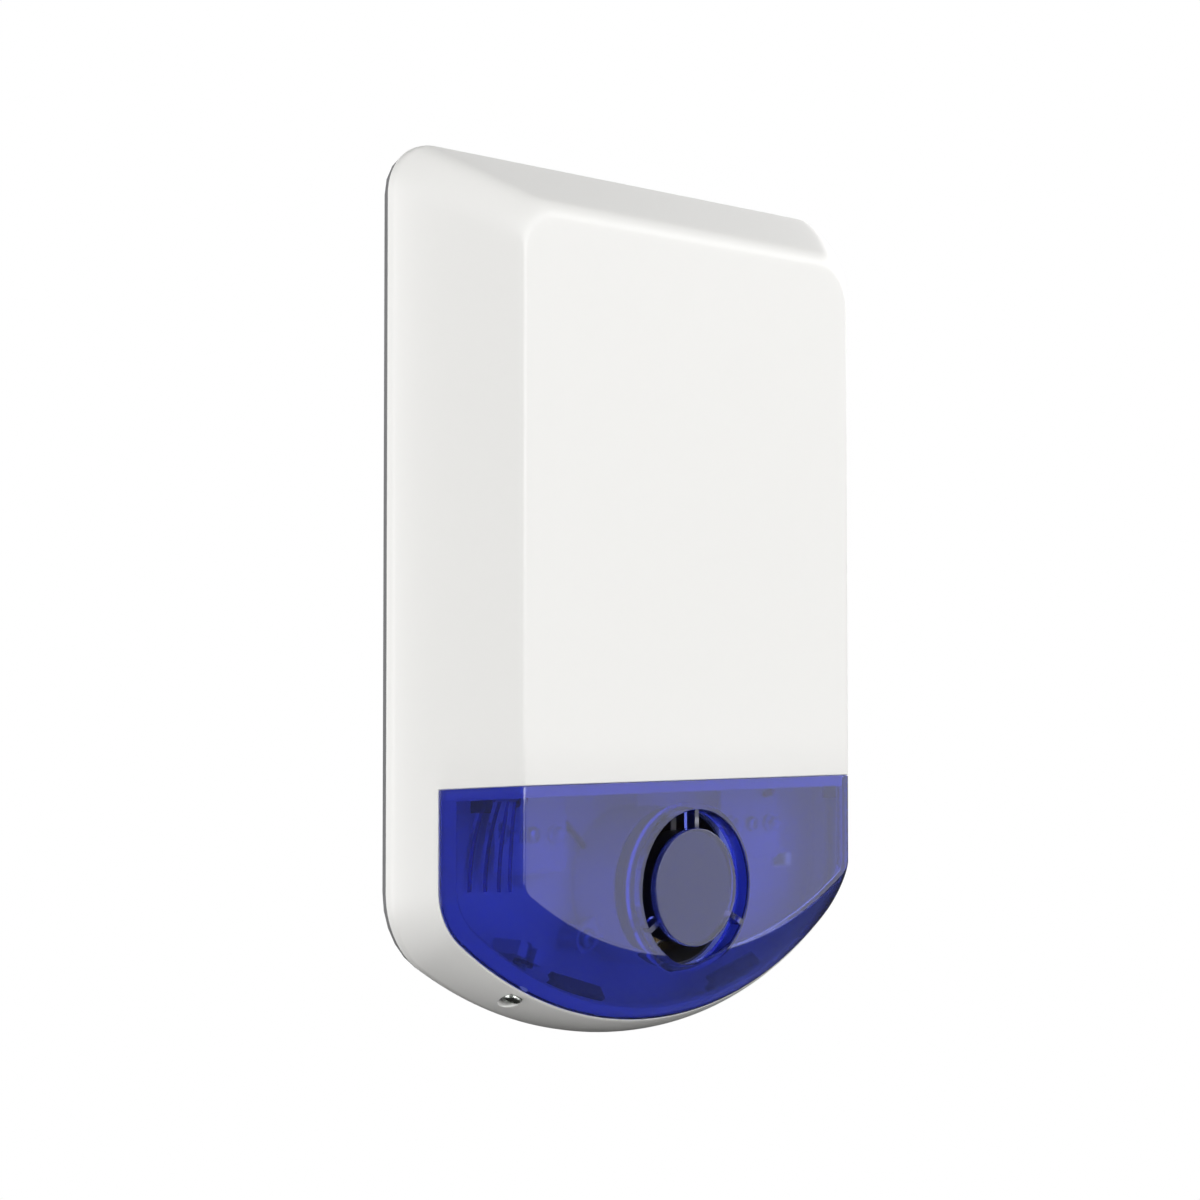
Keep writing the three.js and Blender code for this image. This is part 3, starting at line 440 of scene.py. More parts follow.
def circuit_board(nodes, links, shader):
    """Green solder mask over copper tracks, with tinned pads."""
    coordinates = nodes.new("ShaderNodeTexCoord")
    turned = nodes.new("ShaderNodeMapping")
    turned.inputs["Rotation"].default_value = (math.pi / 2, 0, 0)
    links.new(coordinates.outputs["Object"], turned.inputs["Vector"])
    tracks = nodes.new("ShaderNodeTexBrick")
    tracks.inputs["Scale"].default_value = 130.0
    tracks.inputs["Color1"].default_value = (0.010, 0.075, 0.036, 1)
    tracks.inputs["Color2"].default_value = (0.014, 0.095, 0.046, 1)
    tracks.inputs["Mortar"].default_value = (0.035, 0.19, 0.085, 1)
    tracks.inputs["Mortar Size"].default_value = 0.05
    tracks.inputs["Brick Width"].default_value = 1.9
    tracks.inputs["Row Height"].default_value = 0.42
    links.new(turned.outputs["Vector"], tracks.inputs["Vector"])
    pads = nodes.new("ShaderNodeTexVoronoi")
    pads.inputs["Scale"].default_value = 190.0
    pads.inputs["Randomness"].default_value = 0.55
    links.new(coordinates.outputs["Object"], pads.inputs["Vector"])
    pad = ranged(nodes, links, pads.outputs["Distance"], 1, 0, 0.12, 0.15)
    blended = nodes.new("ShaderNodeMix")
    blended.data_type = "RGBA"
    links.new(pad, blended.inputs[0])
    links.new(tracks.outputs["Color"], blended.inputs[6])
    blended.inputs[7].default_value = (0.55, 0.56, 0.55, 1)
    links.new(blended.outputs[2], shader.inputs["Base Color"])
    links.new(pad, shader.inputs["Metallic"])
    uneven = ranged(nodes, links, noise(nodes, links, 80.0), 0.3, 0.36, 0.0, 1.0)
    links.new(uneven, shader.inputs["Roughness"])
    bump(nodes, links, shader, tracks.outputs["Fac"], 0.3, 0.00004)


def metal(colour, rough):
    def build(nodes, links, shader):
        shader.inputs["Metallic"].default_value = 1.0
        patches = noise(nodes, links, 220.0, 6.0)
        darker = tuple(0.78 * c for c in colour)
        tarnished = two_tone(nodes, links, ranged(nodes, links, patches, 0, 1), colour, darker)
        links.new(tarnished, shader.inputs["Base Color"])
        links.new(ranged(nodes, links, patches, rough - 0.08, rough + 0.12), shader.inputs["Roughness"])
        bump(nodes, links, shader, noise(nodes, links, 1500.0, 3.0), 0.3, 0.00002)
    return build


WHITE = (0.87, 0.865, 0.845)
OFF_WHITE = (0.862, 0.857, 0.837)
FINISHES = {
    "white_abs": moulded(WHITE, OFF_WHITE, 0.32, 300.0, 0.00002, 0.1, 0.1),
    "grey_abs": moulded((0.42, 0.43, 0.44), (0.39, 0.40, 0.41), 0.45),
    "black_plastic": moulded((0.012, 0.012, 0.014), (0.02, 0.02, 0.022), 0.42),
    "blue_lens": lens_plastic,
    # Dark grey for the wall seal is partly painted shadow: its shade is set so the seal's thin edge round the
    # rear rim reads as a soft shadow line.
    "seal_foam": moulded((0.16, 0.16, 0.165), (0.22, 0.22, 0.225), 0.9, 2600.0, 0.0003),
    "rubber": moulded((0.012, 0.012, 0.013), (0.022, 0.022, 0.023), 0.72, 1400.0, 0.00006),
    "zinc_steel": metal((0.60, 0.64, 0.60), 0.3),
    "brass": metal((0.72, 0.52, 0.22), 0.28),
    "white_board": moulded((0.78, 0.78, 0.76), (0.74, 0.74, 0.72), 0.4),
    "circuit_board": circuit_board,
    "terminal_green": moulded((0.03, 0.24, 0.07), (0.04, 0.28, 0.09), 0.4),
    "cell_sleeve": moulded((0.02, 0.16, 0.07), (0.03, 0.19, 0.09), 0.28),
    "led_clear": moulded((0.8, 0.82, 0.86), (0.72, 0.75, 0.8), 0.12),
    "wire_red": moulded((0.42, 0.012, 0.01), (0.5, 0.02, 0.015), 0.4),
    "wire_black": moulded((0.012, 0.012, 0.012), (0.02, 0.02, 0.02), 0.4),
    "copper_coil": metal((0.62, 0.25, 0.10), 0.35),
}
MATERIALS = {name: material(name, build) for name, build in FINISHES.items()}

SLOT_OF = {entry["node"]: entry["material_slot"] for entry in frame["record"]["subparts"]}
BODY_OF = {node: body for body, nodes in frame["record"]["behaviour"]["bodies"].items() for node in nodes}

for node, obj in frame["nodes"].items():
    for slot in obj.material_slots:
        slot.material = MATERIALS[SLOT_OF[node]]
    if not obj.material_slots:
        obj.data.materials.append(MATERIALS[SLOT_OF[node]])


def stands_for(piece, node):
    """Gives a piece its node's material, slot and body, and hides the node."""
    slot = SLOT_OF[node]
    piece.data.materials.clear()
    piece.data.materials.append(MATERIALS[slot])
    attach(piece, BODY_OF[node])
    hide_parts(node)


def finish_as(node, *pieces):
    """Smooths the pieces' round faces and lets them stand for the node."""
    for piece in pieces:
        smooth_by_angle(piece)
        stands_for(piece, node)


# ------------------------------------------------------------------ cover and lens


def grid_solid(name, outer, inner):
    """A closed solid between two grids of points with the same rows and columns."""
    rows, columns = len(outer), len(outer[0])
    verts = [point for grid in (outer, inner) for row in grid for point in row]
    half = rows * columns

    def quad(i, j):
        a = i * columns + j
        return (a, a + 1, a + columns + 1, a + columns)

    faces = [quad(i, j) for i in range(rows - 1) for j in range(columns - 1)]
    faces += [tuple(half + v for v in reversed(face)) for face in list(faces)]
    edge = [j for j in range(columns)]
    edge += [i * columns + columns - 1 for i in range(1, rows)]
    edge += [(rows - 1) * columns + j for j in range(columns - 2, -1, -1)]
    edge += [i * columns for i in range(rows - 2, 0, -1)]
    for a, b in zip(edge, edge[1:] + edge[:1]):
        faces.append((b, a, half + a, half + b))
    obj = new_object(name, verts, faces)
    recalculate(obj)
    return obj


def form_solid(name, inset=0.0):
    """The whole outer form as one closed solid."""
    depths = SKIRT_DEPTHS + [LENS_REAR] + SLOPE_DEPTHS + FOLD_DEPTHS
    verts = [lofted_point(depth, column, inset, 0.0) for depth in depths for column in range(COLUMNS)]
    faces = []
    for i in range(len(depths) - 1):
        for j in range(COLUMNS):
            k = (j + 1) % COLUMNS
            faces.append((i * COLUMNS + j, i * COLUMNS + k, (i + 1) * COLUMNS + k, (i + 1) * COLUMNS + j))
    faces.append(tuple(range(COLUMNS)))
    faces.append(tuple((len(depths) - 1) * COLUMNS + j for j in reversed(range(COLUMNS))))
    obj = new_object(name, verts, faces)
    recalculate(obj)
    return obj


def side_point(depth, inset):
    """X and Y of the left side wall at a depth, drawn in by an inset."""
    t = slope_share(depth)
    half = WIDTH / 2 - draw_at("side", depth) - inset * mix(1, DRAW_IN, t)
    return -half, -mix(depth, depth - inset, t)


LEDGE_ROOT = 2.4  # how far the ledge runs back from the lens's rear edge, along the wall
LEDGE_STEPS = 24
LEDGE_SHIFT = -1.0  # the rear band starts this far below the lens's top edge


def ledge_path(inset):
    """The line along the lens's top edge, from the left wall's foot over the front to the right."""
    across = [LENS_REAR - LEDGE_ROOT, LENS_REAR + 0.5] + SLOPE_DEPTHS + FOLD_DEPTHS
    left = [(*side_point(depth, inset), lens_top_at(depth)) for depth in across]
    x, y, z = left[-1]
    flat = [(mix(x, -x, i / LEDGE_STEPS), y, z) for i in range(1, LEDGE_STEPS)]
    return left + flat + [(-x, y, z) for x, y, z in reversed(left)]


def make_ledge():
    """The cover's flange behind the lens: a band along its top edge and one along its rear edge."""
    insets = (WALL - 0.1, WALL - 0.1, WALL + SEAM, WALL + SEAM, WALL + SEAM + 0.3)
    thick = WALL + SEAM + LEDGE_THICK

    heights = (2.2, 0.4, 0.1, -LEDGE + 0.3, -LEDGE)
    outer = [[(x, y, z + rise) for x, y, z in ledge_path(inset)] for rise, inset in zip(heights, insets)]
    inner = [[(x, y, z + rise) for x, y, z in ledge_path(thick)] for rise in heights]
    finish_as("front_cover", grid_solid("ledge_top", outer, inner))

    depths = [LENS_REAR + run for run in (-LEDGE_ROOT, -0.5, -0.2, LEDGE - 0.3, LEDGE)]
    outer = [[lofted_point(depth, column, inset, LEDGE_SHIFT) for column in LOWER]
             for depth, inset in zip(depths, insets)]
    inner = [[lofted_point(depth, column, thick, LEDGE_SHIFT) for column in LOWER] for depth in depths]
    rear = grid_solid("ledge_rear", outer, inner)
    room = [(0, BOSS_LENGTH), (WASHER_ROOM, BOSS_LENGTH), (WASHER_ROOM, WASHER_FAR), (0, WASHER_FAR)]
    boolean(rear, stood(lathe("washer_room", room, segments=64), screw_line()), "DIFFERENCE")
    finish_as("front_cover", rear)


SCREW_X = -65
SCREW_DEPTH = 13.5
HEAD_RADIUS = 3.4
HEAD_HEIGHT = 2.0
COUNTERBORE = HEAD_RADIUS + 0.4
SEAT = 1.9
SHANK = 1.75
SHANK_LENGTH = 19.5
BOSS_RADIUS = 4.6
BOSS_LENGTH = 6.0
WASHER_ROOM = 3.5 + GAP
WASHER_FAR = 14.5
TAMPER = (40, 92)
TAMPER_DEPTH = 24.5
POST_RADIUS = 3
TAB = {"x": 60, "half": 5, "near": 4.4, "far": 7.2, "reach": 7, "lap": 0.5}


def screw_line():
    """The placing on the underside at the cover screw: depth runs inward, square to the outline."""
    draw = draw_at("bottom", SCREW_DEPTH)
    half = WIDTH / 2 - draw_at("side", SCREW_DEPTH)
    rise = mix(*ARC_END, slope_share(SCREW_DEPTH)) + HEIGHT / 2 - draw
    radius = (half ** 2 + rise ** 2) / (2 * rise)
    lean = math.asin(SCREW_X / radius)
    out = Vector((math.sin(lean), 0, -math.cos(lean)))
    foot = Vector((0, -SCREW_DEPTH, -HEIGHT / 2 + draw + radius)) + out * radius
    side = out.cross(Vector((0, 1, 0))).normalized()
    placing = Matrix((side, out, side.cross(out))).transposed().to_4x4()
    placing.translation = foot * MM
    return placing


def stood(obj, matrix):
    obj.data.transform(matrix)
    return obj


def cross_recess(name, arm, half, face, deep):
    """A tapered cross, cut into a screw head whose outer face lies at a depth."""
    blades = []
    for turn in (0, 90):
        top, foot = (arm, half), (arm * 0.55, half * 0.7)
        verts = []
        for (reach, wide), depth in ((top, face - 0.5), (foot, face + deep)):
            verts += [(x * reach, -depth, z * wide) for x, z in ((-1, -1), (1, -1), (1, 1), (-1, 1))]
        faces = [(0, 1, 2, 3), (4, 7, 6, 5), (0, 4, 5, 1), (1, 5, 6, 2), (2, 6, 7, 3), (3, 7, 4, 0)]
        blade = new_object(name, verts, faces)
        recalculate(blade)
        blade.data.transform(Matrix.Rotation(math.radians(turn), 4, "Y"))
        blades.append(blade)
    return boolean(blades[0], blades[1], "UNION")


def pan_head(radius, height, seat, shank, length, pitch):
    """Profile of a pan-head screw; the head rests at the seat depth and the thread runs inward."""
    face = seat - height
    profile = [(0, face), (0.4 * radius, face + 0.02 * height), (0.66 * radius, face + 0.1 * height),
               (0.85 * radius, face + 0.27 * height), (0.96 * radius, face + 0.5 * height),
               (radius, face + 0.72 * height), (radius, seat - 0.1), (radius - 0.1, seat), (shank, seat)]
    depth = seat + 0.25 * length
    while depth < seat + 0.88 * length:
        profile += [(shank, depth), (0.82 * shank, depth + pitch / 2)]
        depth += pitch
    profile += [(shank, seat + 0.9 * length), (0.4 * shank, seat + length), (0, seat + length)]
    return profile


def make_cover_screw():
    seat = SEAT - GAP
    profile = pan_head(HEAD_RADIUS, HEAD_HEIGHT, seat, SHANK, SHANK_LENGTH, 0.7)
    screw = lathe("cover_screw_body", profile, segments=64)
    recess = cross_recess("recess", HEAD_RADIUS * 0.6, HEAD_RADIUS * 0.14, seat - HEAD_HEIGHT, 1.3)
    boolean(screw, recess, "DIFFERENCE")
    smooth_by_angle(screw)
    stands_for(stood(screw, screw_line()), "cover_screw")


def make_screw_boss():
    bore = SHANK + GAP
    boss = lathe("screw_boss", [(bore, SEAT), (BOSS_RADIUS, SEAT), (BOSS_RADIUS, BOSS_LENGTH - 0.3),
                                (BOSS_RADIUS - 0.3, BOSS_LENGTH), (bore, BOSS_LENGTH)], segments=64)
    boolean(stood(boss, screw_line()), form_solid("trim", 0.2), "INTERSECT")
    finish_as("front_cover", boss)


def make_hinge_tabs():
    top = HEIGHT / 2 - WALL
    for side, hand in ((-1, "left"), (1, "right")):
        x = side * TAB["x"]
        low = (x - TAB["half"], -TAB["far"], top - TAB["reach"])
        high = (x + TAB["half"], -TAB["near"], top + TAB["lap"])
        stands_for(bevel(box_piece(f"hinge_tab_{hand}", low, high), 0.4), "front_cover")


def make_tamper_post():
    foot = DEPTH - WALL
    tip = TAMPER_DEPTH + GAP
    profile = [(0, tip), (POST_RADIUS - 0.4, tip), (POST_RADIUS, tip + 0.4), (POST_RADIUS, foot - 1),
               (POST_RADIUS + 0.4, foot - 0.3), (POST_RADIUS + 1.2, foot + 0.3), (0, foot + 0.3)]
    finish_as("front_cover", lathe("tamper_post", profile, *TAMPER, 48))


def make_cover():
    cover = shell("cover_shell", SKIRT_DEPTHS + [LENS_REAR - SEAM], SLOPE_DEPTHS + FOLD_DEPTHS,
                  UPPER, WALL, SEAM)
    bevel(cover, 0.4)
    bore = SHANK + GAP
    profile = [(0, -8), (COUNTERBORE, -8), (COUNTERBORE, SEAT), (bore, SEAT), (bore, 9), (0, 9)]
    boolean(cover, stood(lathe("counterbore", profile, segments=64), screw_line()), "DIFFERENCE")
    finish_as("front_cover", cover)
    make_ledge()
    make_screw_boss()
    make_hinge_tabs()
    make_tamper_post()


TUBE_DEPTH = 31.5
TUBE_WALL = 2.5
SPOKE_LAP = 0.3
SPOKE_WIDTH = 2.0
SPOKE_DEPTH = 5.0
SPOKE_ANGLES = (0, 120, 240)


def radial_bar(name, angle, width, inner, outer, near, far):
    """A bar lying radially round the sounder's axis."""
    bar = box_piece(name, (-width / 2, -far, inner), (width / 2, -near, outer))
    turn = Matrix.Translation((0, 0, SOUND_Z * MM)) @ Matrix.Rotation(math.radians(angle), 4, "Y")
    bar.data.transform(turn)
    return bar


def join_meshes(pieces):
    """One mesh object holding several separate bodies."""
    work = bmesh.new()
    for piece in pieces:
        work.from_mesh(piece.data)
    first = pieces[0]
    work.to_mesh(first.data)
    work.free()
    for piece in pieces[1:]:
        bpy.data.objects.remove(piece)
    return first


FINS = ((24.6, 28.4), (28.4, 31.8), (31.6, 33.8), (34.1, 35.2))  # depth at the foot and at the top
FIN_FOOT = -95.5
FIN_TOP = -66.5
FIN_HEIGHT = 2.8
FIN_HALF = 0.45
FIN_LAP = 0.4
FIN_STEPS = 14


def make_fin(side, foot_depth, top_depth):
    """A curved fin on the inside of the lens's side wall, running straight in from left or right."""
    corners = ((-1.0, 0.0), (1.0, 0.0), (0.6, 1.0), (-0.6, 1.0))
    verts = []
    for i in range(FIN_STEPS + 1):
        u = i / FIN_STEPS
        x, y = side_point(mix(foot_depth, top_depth, u * u), WALL - FIN_LAP)
        for across, reach in corners:
            verts.append((-side * (x + reach * FIN_HEIGHT), y + across * FIN_HALF, mix(FIN_FOOT, FIN_TOP, u)))
    faces = [tuple(range(4)), tuple(FIN_STEPS * 4 + k for k in reversed(range(4)))]
    for i in range(FIN_STEPS):
        for k in range(4):
            m = (k + 1) % 4
            faces.append((i * 4 + k, i * 4 + m, (i + 1) * 4 + m, (i + 1) * 4 + k))
    fin = new_object("fin", verts, faces, smooth=False)
    recalculate(fin)
    return fin


def make_lens():
    edge = 0.25
    lens = shell("lens_shell", [], [LENS_REAR] + SLOPE_DEPTHS + FOLD_DEPTHS, LOWER, WALL, 0.0)
    bevel(lens, 0.3)
    inner, outer = SLOT_RADIUS - 1, SLOT_RADIUS + TUBE_WALL
    tube = lathe("outer_tube", [(inner, TUBE_DEPTH), (outer, TUBE_DEPTH), (outer, DEPTH + 1),
                                (inner, DEPTH + 1)], 0, SOUND_Z)
    boolean(tube, form_solid("trim", 0.02), "INTERSECT")
    boolean(lens, tube, "UNION")
    for side in (-1, 1):
        for foot_depth, top_depth in FINS:
            boolean(lens, make_fin(side, foot_depth, top_depth), "UNION")
    slot = lathe("slot", [(0, TUBE_DEPTH - 3), (SLOT_RADIUS, TUBE_DEPTH - 3), (SLOT_RADIUS, DEPTH - edge),
                          (SLOT_RADIUS + edge, DEPTH), (SLOT_RADIUS + edge, DEPTH + 3), (0, DEPTH + 3)],
                 0, SOUND_Z, 128)
    boolean(lens, slot, "DIFFERENCE")
    spokes = [radial_bar(f"spoke_{angle}", angle, SPOKE_WIDTH, DISC_RADIUS - SPOKE_LAP, SLOT_RADIUS + 1,
                         DEPTH - SPOKE_DEPTH, DEPTH - 0.05) for angle in SPOKE_ANGLES]
    boolean(lens, join_meshes(spokes), "UNION")
    disc = lathe("disc", [(0, DEPTH - WALL), (DISC_RADIUS, DEPTH - WALL), (DISC_RADIUS, DEPTH - edge),
                          (DISC_RADIUS - 0.4 * edge, DEPTH - 0.4 * edge), (DISC_RADIUS - edge, DEPTH),
                          (DISC_RADIUS - 2 * edge, DEPTH), (0, DEPTH)], 0, SOUND_Z, 128)
    boolean(lens, disc, "UNION")
    finish_as("siren_lens", lens)


# ------------------------------------------------------------------ parts inside


def node_box(node):
    """Low corner, high corner and middle of a CAD node, in millimetres."""
    low, high = (Vector(corner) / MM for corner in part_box(node))
    return low, high, (low + high) / 2


PAN = {"radius": 2.8, "height": 1.9, "shank": 1.2, "length": 6.5, "pitch": 0.6}


def make_pan_screws():
    """Small pan-head screws, heads to the front."""
    facing_front = Matrix.Rotation(math.pi, 4, "Z")
    for node in sorted(name for name in frame["nodes"] if "_screw_" in name and not name.startswith("cover")):
        low, _, at = node_box(node)
        profile = pan_head(PAN["radius"], PAN["height"], 0, PAN["shank"], PAN["length"], PAN["pitch"])
        screw = lathe(f"{node}_body", profile, segments=48)
        boolean(screw, cross_recess("recess", 1.7, 0.36, -PAN["height"], 1.0), "DIFFERENCE")
        smooth_by_angle(screw)
        seated = Matrix.Translation((at.x * MM, (low.y + PAN["height"]) * MM, at.z * MM))
        stands_for(stood(screw, seated @ facing_front), node)


CELLS = 6
CONTACT_HEIGHT = 1.2
CONTACT_RADIUS = 2.7


def make_cells():
    """Battery cells: shrink sleeve drawn over the shoulders, raised contact at the top."""
    for number in range(1, CELLS + 1):
        node = f"battery_cell_{number}"
        low, high, at = node_box(node)
        radius = (high.x - low.x) / 2
        bottom, top = low.z, high.z - CONTACT_HEIGHT
        base = [(0, bottom + 0.35), (5.2, bottom + 0.35), (5.6, bottom), (6.5, bottom)]
        sleeve = [(radius - 0.15, bottom + 0.25), (radius, bottom + 0.8), (radius, top - 0.8),
                  (radius - 0.15, top - 0.25), (6.5, top), (5.8, top), (5.4, top - 0.35)]
        contact = [(CONTACT_RADIUS + 0.2, top - 0.35), (CONTACT_RADIUS, top), (CONTACT_RADIUS, top + 0.95),
                   (CONTACT_RADIUS - 0.2, high.z), (0, high.z)]
        cell = lathe(f"{node}_body", base + sleeve + contact, segments=72)
        cell.data.transform(Matrix.Rotation(math.radians(-90), 4, "X"))
        cell.data.transform(Matrix.Translation((at.x * MM, at.y * MM, 0)))
        finish_as(node, cell)


HORN_FACE = 28.4
PLUG_RADIUS = 19.3
CUP_RADIUS = 27.5
CUP_FACE = 24.0
EAR_REACH = 34
EAR_RADIUS = 4.4
EAR_NEAR, EAR_FAR = 11, 13
EAR_ANGLES = (90, 210, 330)


def make_horn():
    """A ring round a plug, held by three arms."""
    low, _, _ = node_box("sounder_horn")
    plug_face = -low.y
    ring = lathe("horn_ring", [(22.6, 13.4), (25, 13.4), (25, CUP_FACE + 0.3), (27.3, CUP_FACE + 0.3),
                               (CUP_RADIUS, CUP_FACE + 0.5), (CUP_RADIUS, HORN_FACE - 0.3), (27.2, HORN_FACE),
                               (26.4, HORN_FACE), (25.2, 25.6), (23.6, 22.6), (22.7, 20)], 0, SOUND_Z, 128)
    plug = lathe("horn_plug", [(0, 17), (10, 17), (14, 18.6), (17, 21.2), (18.7, 23.8), (PLUG_RADIUS, 26),
                               (PLUG_RADIUS, plug_face - 0.4), (PLUG_RADIUS - 0.4, plug_face),
                               (0, plug_face)], 0, SOUND_Z, 128)
    arms = [radial_bar(f"horn_arm_{angle}", angle, 3, 16, 24, 21.5, 27) for angle in SPOKE_ANGLES]
    finish_as("sounder_horn", ring, plug)
    for arm in arms:
        stands_for(bevel(arm, 0.4), "sounder_horn")


def make_cup():
    """The sounder's cup, with three ears for its screws."""
    cup = lathe("sounder_cup", [(0, 2.8), (26.5, 2.8), (CUP_RADIUS, 3.8), (CUP_RADIUS, CUP_FACE - 0.3),
                                (27.2, CUP_FACE), (25.6, CUP_FACE), (25.3, CUP_FACE - 0.3), (25.3, 12),
                                (19, 12), (19, 6), (0, 6)], 0, SOUND_Z, 128)
    finish_as("sounder_housing", cup)
    for number, degrees in enumerate(EAR_ANGLES, 1):
        angle = math.radians(degrees)
        x, z = EAR_REACH * math.cos(angle), SOUND_Z + EAR_REACH * math.sin(angle)
        ear = radial_bar(f"sounder_ear_{number}", 90 - degrees, 2 * EAR_RADIUS, 26.5, EAR_REACH,
                         EAR_NEAR, EAR_FAR)
        end = [(0, EAR_NEAR), (EAR_RADIUS, EAR_NEAR), (EAR_RADIUS, EAR_FAR), (0, EAR_FAR)]
        hole = [(0, EAR_NEAR - 1), (1.7, EAR_NEAR - 1), (1.7, EAR_FAR + 1), (0, EAR_FAR + 1)]
        boolean(ear, lathe("ear_end", end, x, z, 64), "UNION")
        boolean(ear, lathe("ear_hole", hole, x, z, 32), "DIFFERENCE")
        finish_as("sounder_housing", ear)


def make_piezo():
    """A thin metal disc with a ceramic one on its front."""
    profile = [(0, 12.3), (21.9, 12.3), (22, 12.4), (22, 12.6), (21.9, 12.7), (14, 12.7), (13.9, 13.05),
               (13.7, 13.1), (0, 13.1)]
    finish_as("piezo_element", lathe("piezo_disc", profile, 0, SOUND_Z, 128))


def make_leds():
    """Round LEDs with a collar and a domed top."""
    for node in sorted(name for name in frame["nodes"] if name.startswith("strobe_led_")):
        _, high, at = node_box(node)
        base = -high.y
        dome = []
        for degrees in range(0, 90, 10):
            angle = math.radians(degrees)
            dome.append((2.4 * math.cos(angle), base + 2.5 + 2.2 * math.sin(angle)))
        collar = [(0, base), (3.2, base), (3.2, base + 1.2), (3, base + 1.4), (2.5, base + 1.5),
                  (2.45, base + 1.7)]
        finish_as(node, lathe(f"{node}_body", collar + dome + [(0, base + 4.7)], at.x, at.z, 64))


COIL_TURNS = 9
COIL_PITCH = 0.65
COIL_RADIUS = 8


def make_coil():
    """The driver coil: a spool with its winding."""
    _, high, at = node_box("driver_coil")
    base = -high.y
    flange = COIL_RADIUS - 0.2
    profile = [(0, base), (flange, base), (COIL_RADIUS, base + 0.2), (COIL_RADIUS, base + 1.3),
               (flange, base + 1.5)]
    for i in range(COIL_TURNS):
        start = base + 1.9 + i * COIL_PITCH
        profile += [(6.35, start), (6.7, start + 0.16), (6.8, start + 0.32), (6.7, start + 0.48)]
    profile += [(flange, base + 8), (COIL_RADIUS, base + 8.2), (COIL_RADIUS, base + 9.3),
                (flange, base + 9.5), (2.7, base + 9.5), (2.5, base + 9.3), (2.5, base + 7.5),
                (0, base + 7.5)]
    finish_as("driver_coil", lathe("coil_body", profile, at.x, at.z, 72))


CAN_RADIUS = 5


def make_capacitor():
    """The reservoir capacitor: a can with a groove near its foot and a rolled rim."""
    low, high, at = node_box("reservoir_capacitor")
    base, face = -high.y, -low.y
    groove = CAN_RADIUS - 0.3
    profile = [(0, base), (CAN_RADIUS - 0.1, base), (CAN_RADIUS, base + 0.15), (CAN_RADIUS, base + 1.5),
               (groove, base + 1.8), (groove, base + 2.1), (CAN_RADIUS, base + 2.4), (CAN_RADIUS, face - 0.5),
               (4.8, face - 0.15), (4.5, face), (4.1, face), (4, face - 0.25), (0, face - 0.25)]
    finish_as("reservoir_capacitor", lathe("capacitor_can", profile, at.x, at.z, 72))


def make_grommet():
    _, _, at = node_box("cable_grommet")
    profile = [(3.5, 0.6), (4, 0.3), (8.4, 0.3), (8.7, 0.6), (8.7, 2.8), (11.7, 2.8), (12, 3.1), (12, 4.1),
               (11.6, 4.4), (4.2, 4.4), (3.5, 3.9)]
    finish_as("cable_grommet", lathe("grommet_body", profile, at.x, at.z, 96))


BLOCKS = {"battery_plug": 0.35, "sounder_plug": 0.35, "controller_chip": 0.3}


def make_blocks():
    """Moulded blocks exactly as large as their nodes, with softened edges."""
    for node, width in BLOCKS.items():
        low, high, _ = node_box(node)
        stands_for(bevel(box_piece(f"{node}_body", tuple(low), tuple(high)), width), node)


make_cover()
make_lens()
make_cover_screw()
make_pan_screws()
make_cells()
make_horn()
make_cup()
make_piezo()
make_leds()
make_coil()
make_capacitor()
make_grommet()
make_blocks()

# ------------------------------------------------------------------ room


FLOOR_RADIUS = 3000
FLOOR_Z = -950
FLOOR_SEGMENTS = 96


def make_floor():
    angles = [2 * math.pi * i / FLOOR_SEGMENTS for i in range(FLOOR_SEGMENTS)]
    verts = [(FLOOR_RADIUS * math.cos(angle), FLOOR_RADIUS * math.sin(angle), FLOOR_Z) for angle in angles]
    floor = new_object("floor", verts, [list(range(FLOOR_SEGMENTS))])
    made = material("floor", moulded((0.8, 0.8, 0.79), (0.77, 0.77, 0.76), 0.6))
    floor.data.materials.append(made)
    floor.visible_diffuse = False
    floor.visible_glossy = False


def area_light(name, at, target, size, power):
    data = bpy.data.lights.new(name, "AREA")
    data.shape = "RECTANGLE"
    data.size, data.size_y = size, size
    data.energy = power
    light = bpy.data.objects.new(name, data)
    light.location = at
    light.rotation_euler = (Vector(target) - Vector(at)).to_track_quat("-Z", "Y").to_euler()
    bpy.context.scene.collection.objects.link(light)


FRONT_LIGHT = 6.6
RIGHT_LIGHT = 5.1
LEFT_LIGHT = 4.3
CAMERA_SIDE_LIGHT = 0.15
BACK_LIGHT = 1.6
TOP_LIGHT = 0.0
LOW_LIGHT = 0.02
SHEEN_LIGHT = 1.35


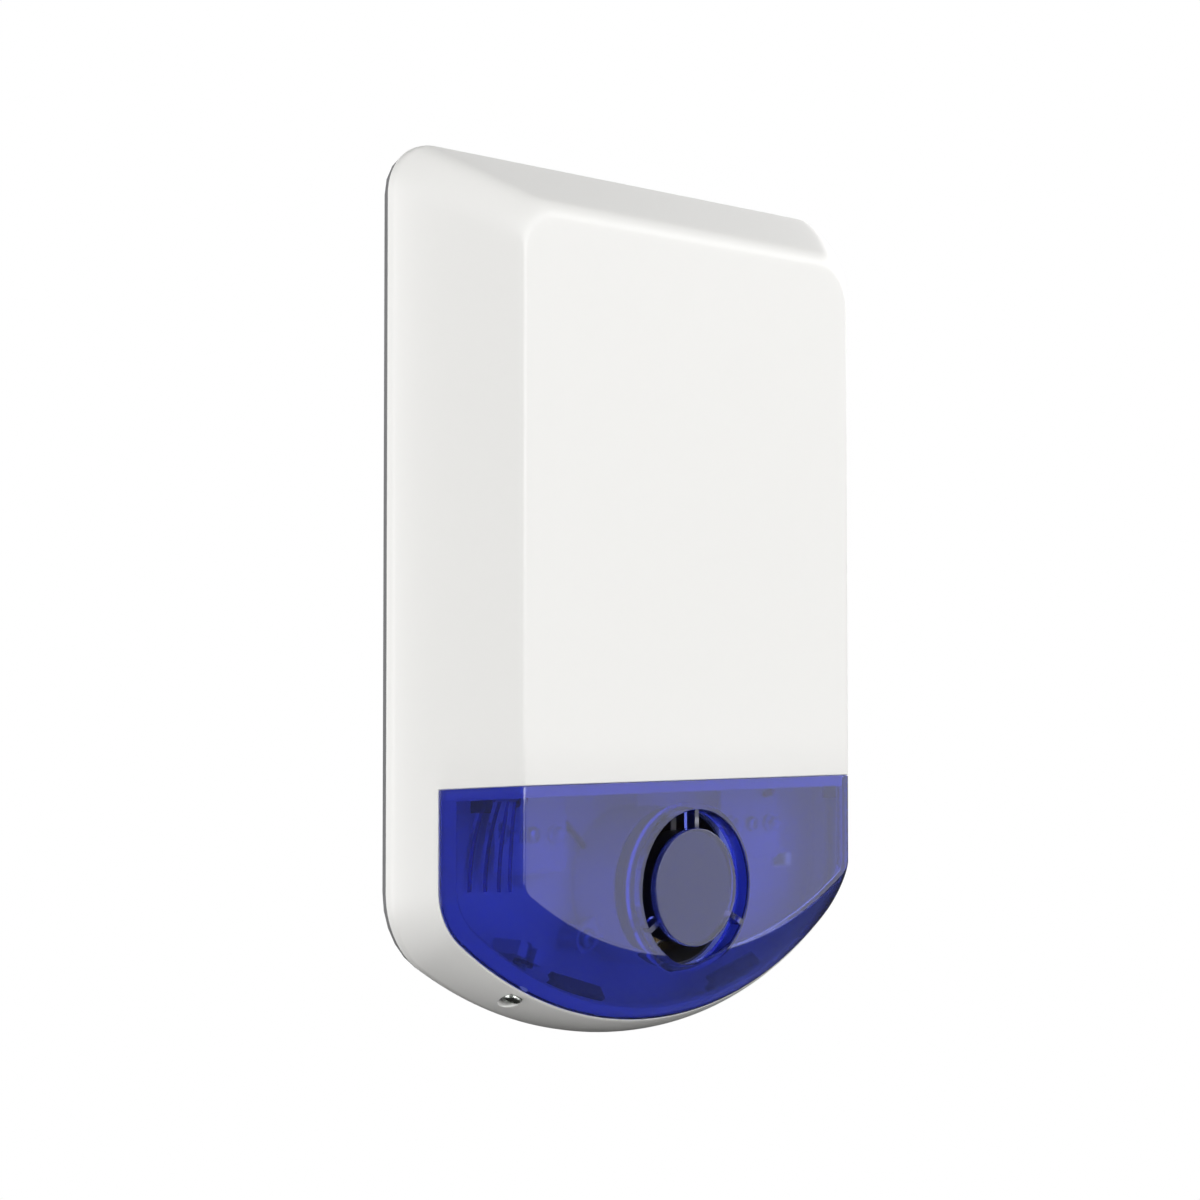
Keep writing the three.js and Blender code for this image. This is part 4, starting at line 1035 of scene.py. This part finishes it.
def make_world():
    """A studio: a bright wall of soft light from the left round to the right, dark behind the camera,
    dimmer behind the siren, dark above and below, and a weak light that the lens's front mirrors.
    Straight to the camera it is plain white. A later light replaces the earlier ones in its window."""
    world = bpy.data.worlds.new("studio")
    world.use_nodes = True
    bpy.context.scene.world = world
    nodes = world.node_tree.nodes
    links = world.node_tree.links
    direction = nodes.new("ShaderNodeTexCoord").outputs["Generated"]

    def toward(x, y, z, start, stop):
        """0 to 1 as the direction turns towards (x, y, z), between two cosines."""
        dot = nodes.new("ShaderNodeVectorMath")
        dot.operation = "DOT_PRODUCT"
        dot.inputs[1].default_value = (x, y, z)
        links.new(direction, dot.inputs[0])
        ramp = nodes.new("ShaderNodeMapRange")
        ramp.interpolation_type = "SMOOTHSTEP"
        ramp.inputs["From Min"].default_value = start
        ramp.inputs["From Max"].default_value = stop
        links.new(dot.outputs["Value"], ramp.inputs["Value"])
        return ramp.outputs["Result"]

    def blend(below, level, amount):
        node = nodes.new("ShaderNodeMix")
        if isinstance(below, float):
            node.inputs[2].default_value = below
        else:
            links.new(below, node.inputs[2])
        node.inputs[3].default_value = level
        links.new(amount, node.inputs[0])
        return node.outputs[0]

    light = blend(FRONT_LIGHT, RIGHT_LIGHT, toward(0.9, -0.43, 0, 0.3, 0.8))
    light = blend(light, LEFT_LIGHT, toward(-1, 0, 0, 0.1, 0.7))
    light = blend(light, CAMERA_SIDE_LIGHT, toward(-0.705, -0.708, -0.04, 0.743, 0.914))
    light = blend(light, BACK_LIGHT, toward(0, 1, 0, -0.1, 0.6))
    light = blend(light, TOP_LIGHT, toward(0, 0, 1, 0.2, 0.7))
    light = blend(light, LOW_LIGHT, toward(0.3, -0.1, -0.95, 0.0, 0.25))
    light = blend(light, SHEEN_LIGHT, toward(0.7, -0.7, -0.08, 0.86, 0.96))
    light = blend(light, 1.0, nodes.new("ShaderNodeLightPath").outputs["Is Camera Ray"])
    links.new(light, nodes["Background"].inputs["Strength"])
    nodes["Background"].inputs["Color"].default_value = (1, 1, 1, 1)


make_floor()
make_world()
area_light("overhead", (0, -0.6, 2.2), (0, 0, 0), 1.2, 2)
area_light("floor_wash", (0, 0, -0.5), (0, 0, -0.95), 9, 230)
bpy.context.scene.view_settings.view_transform = "Standard"
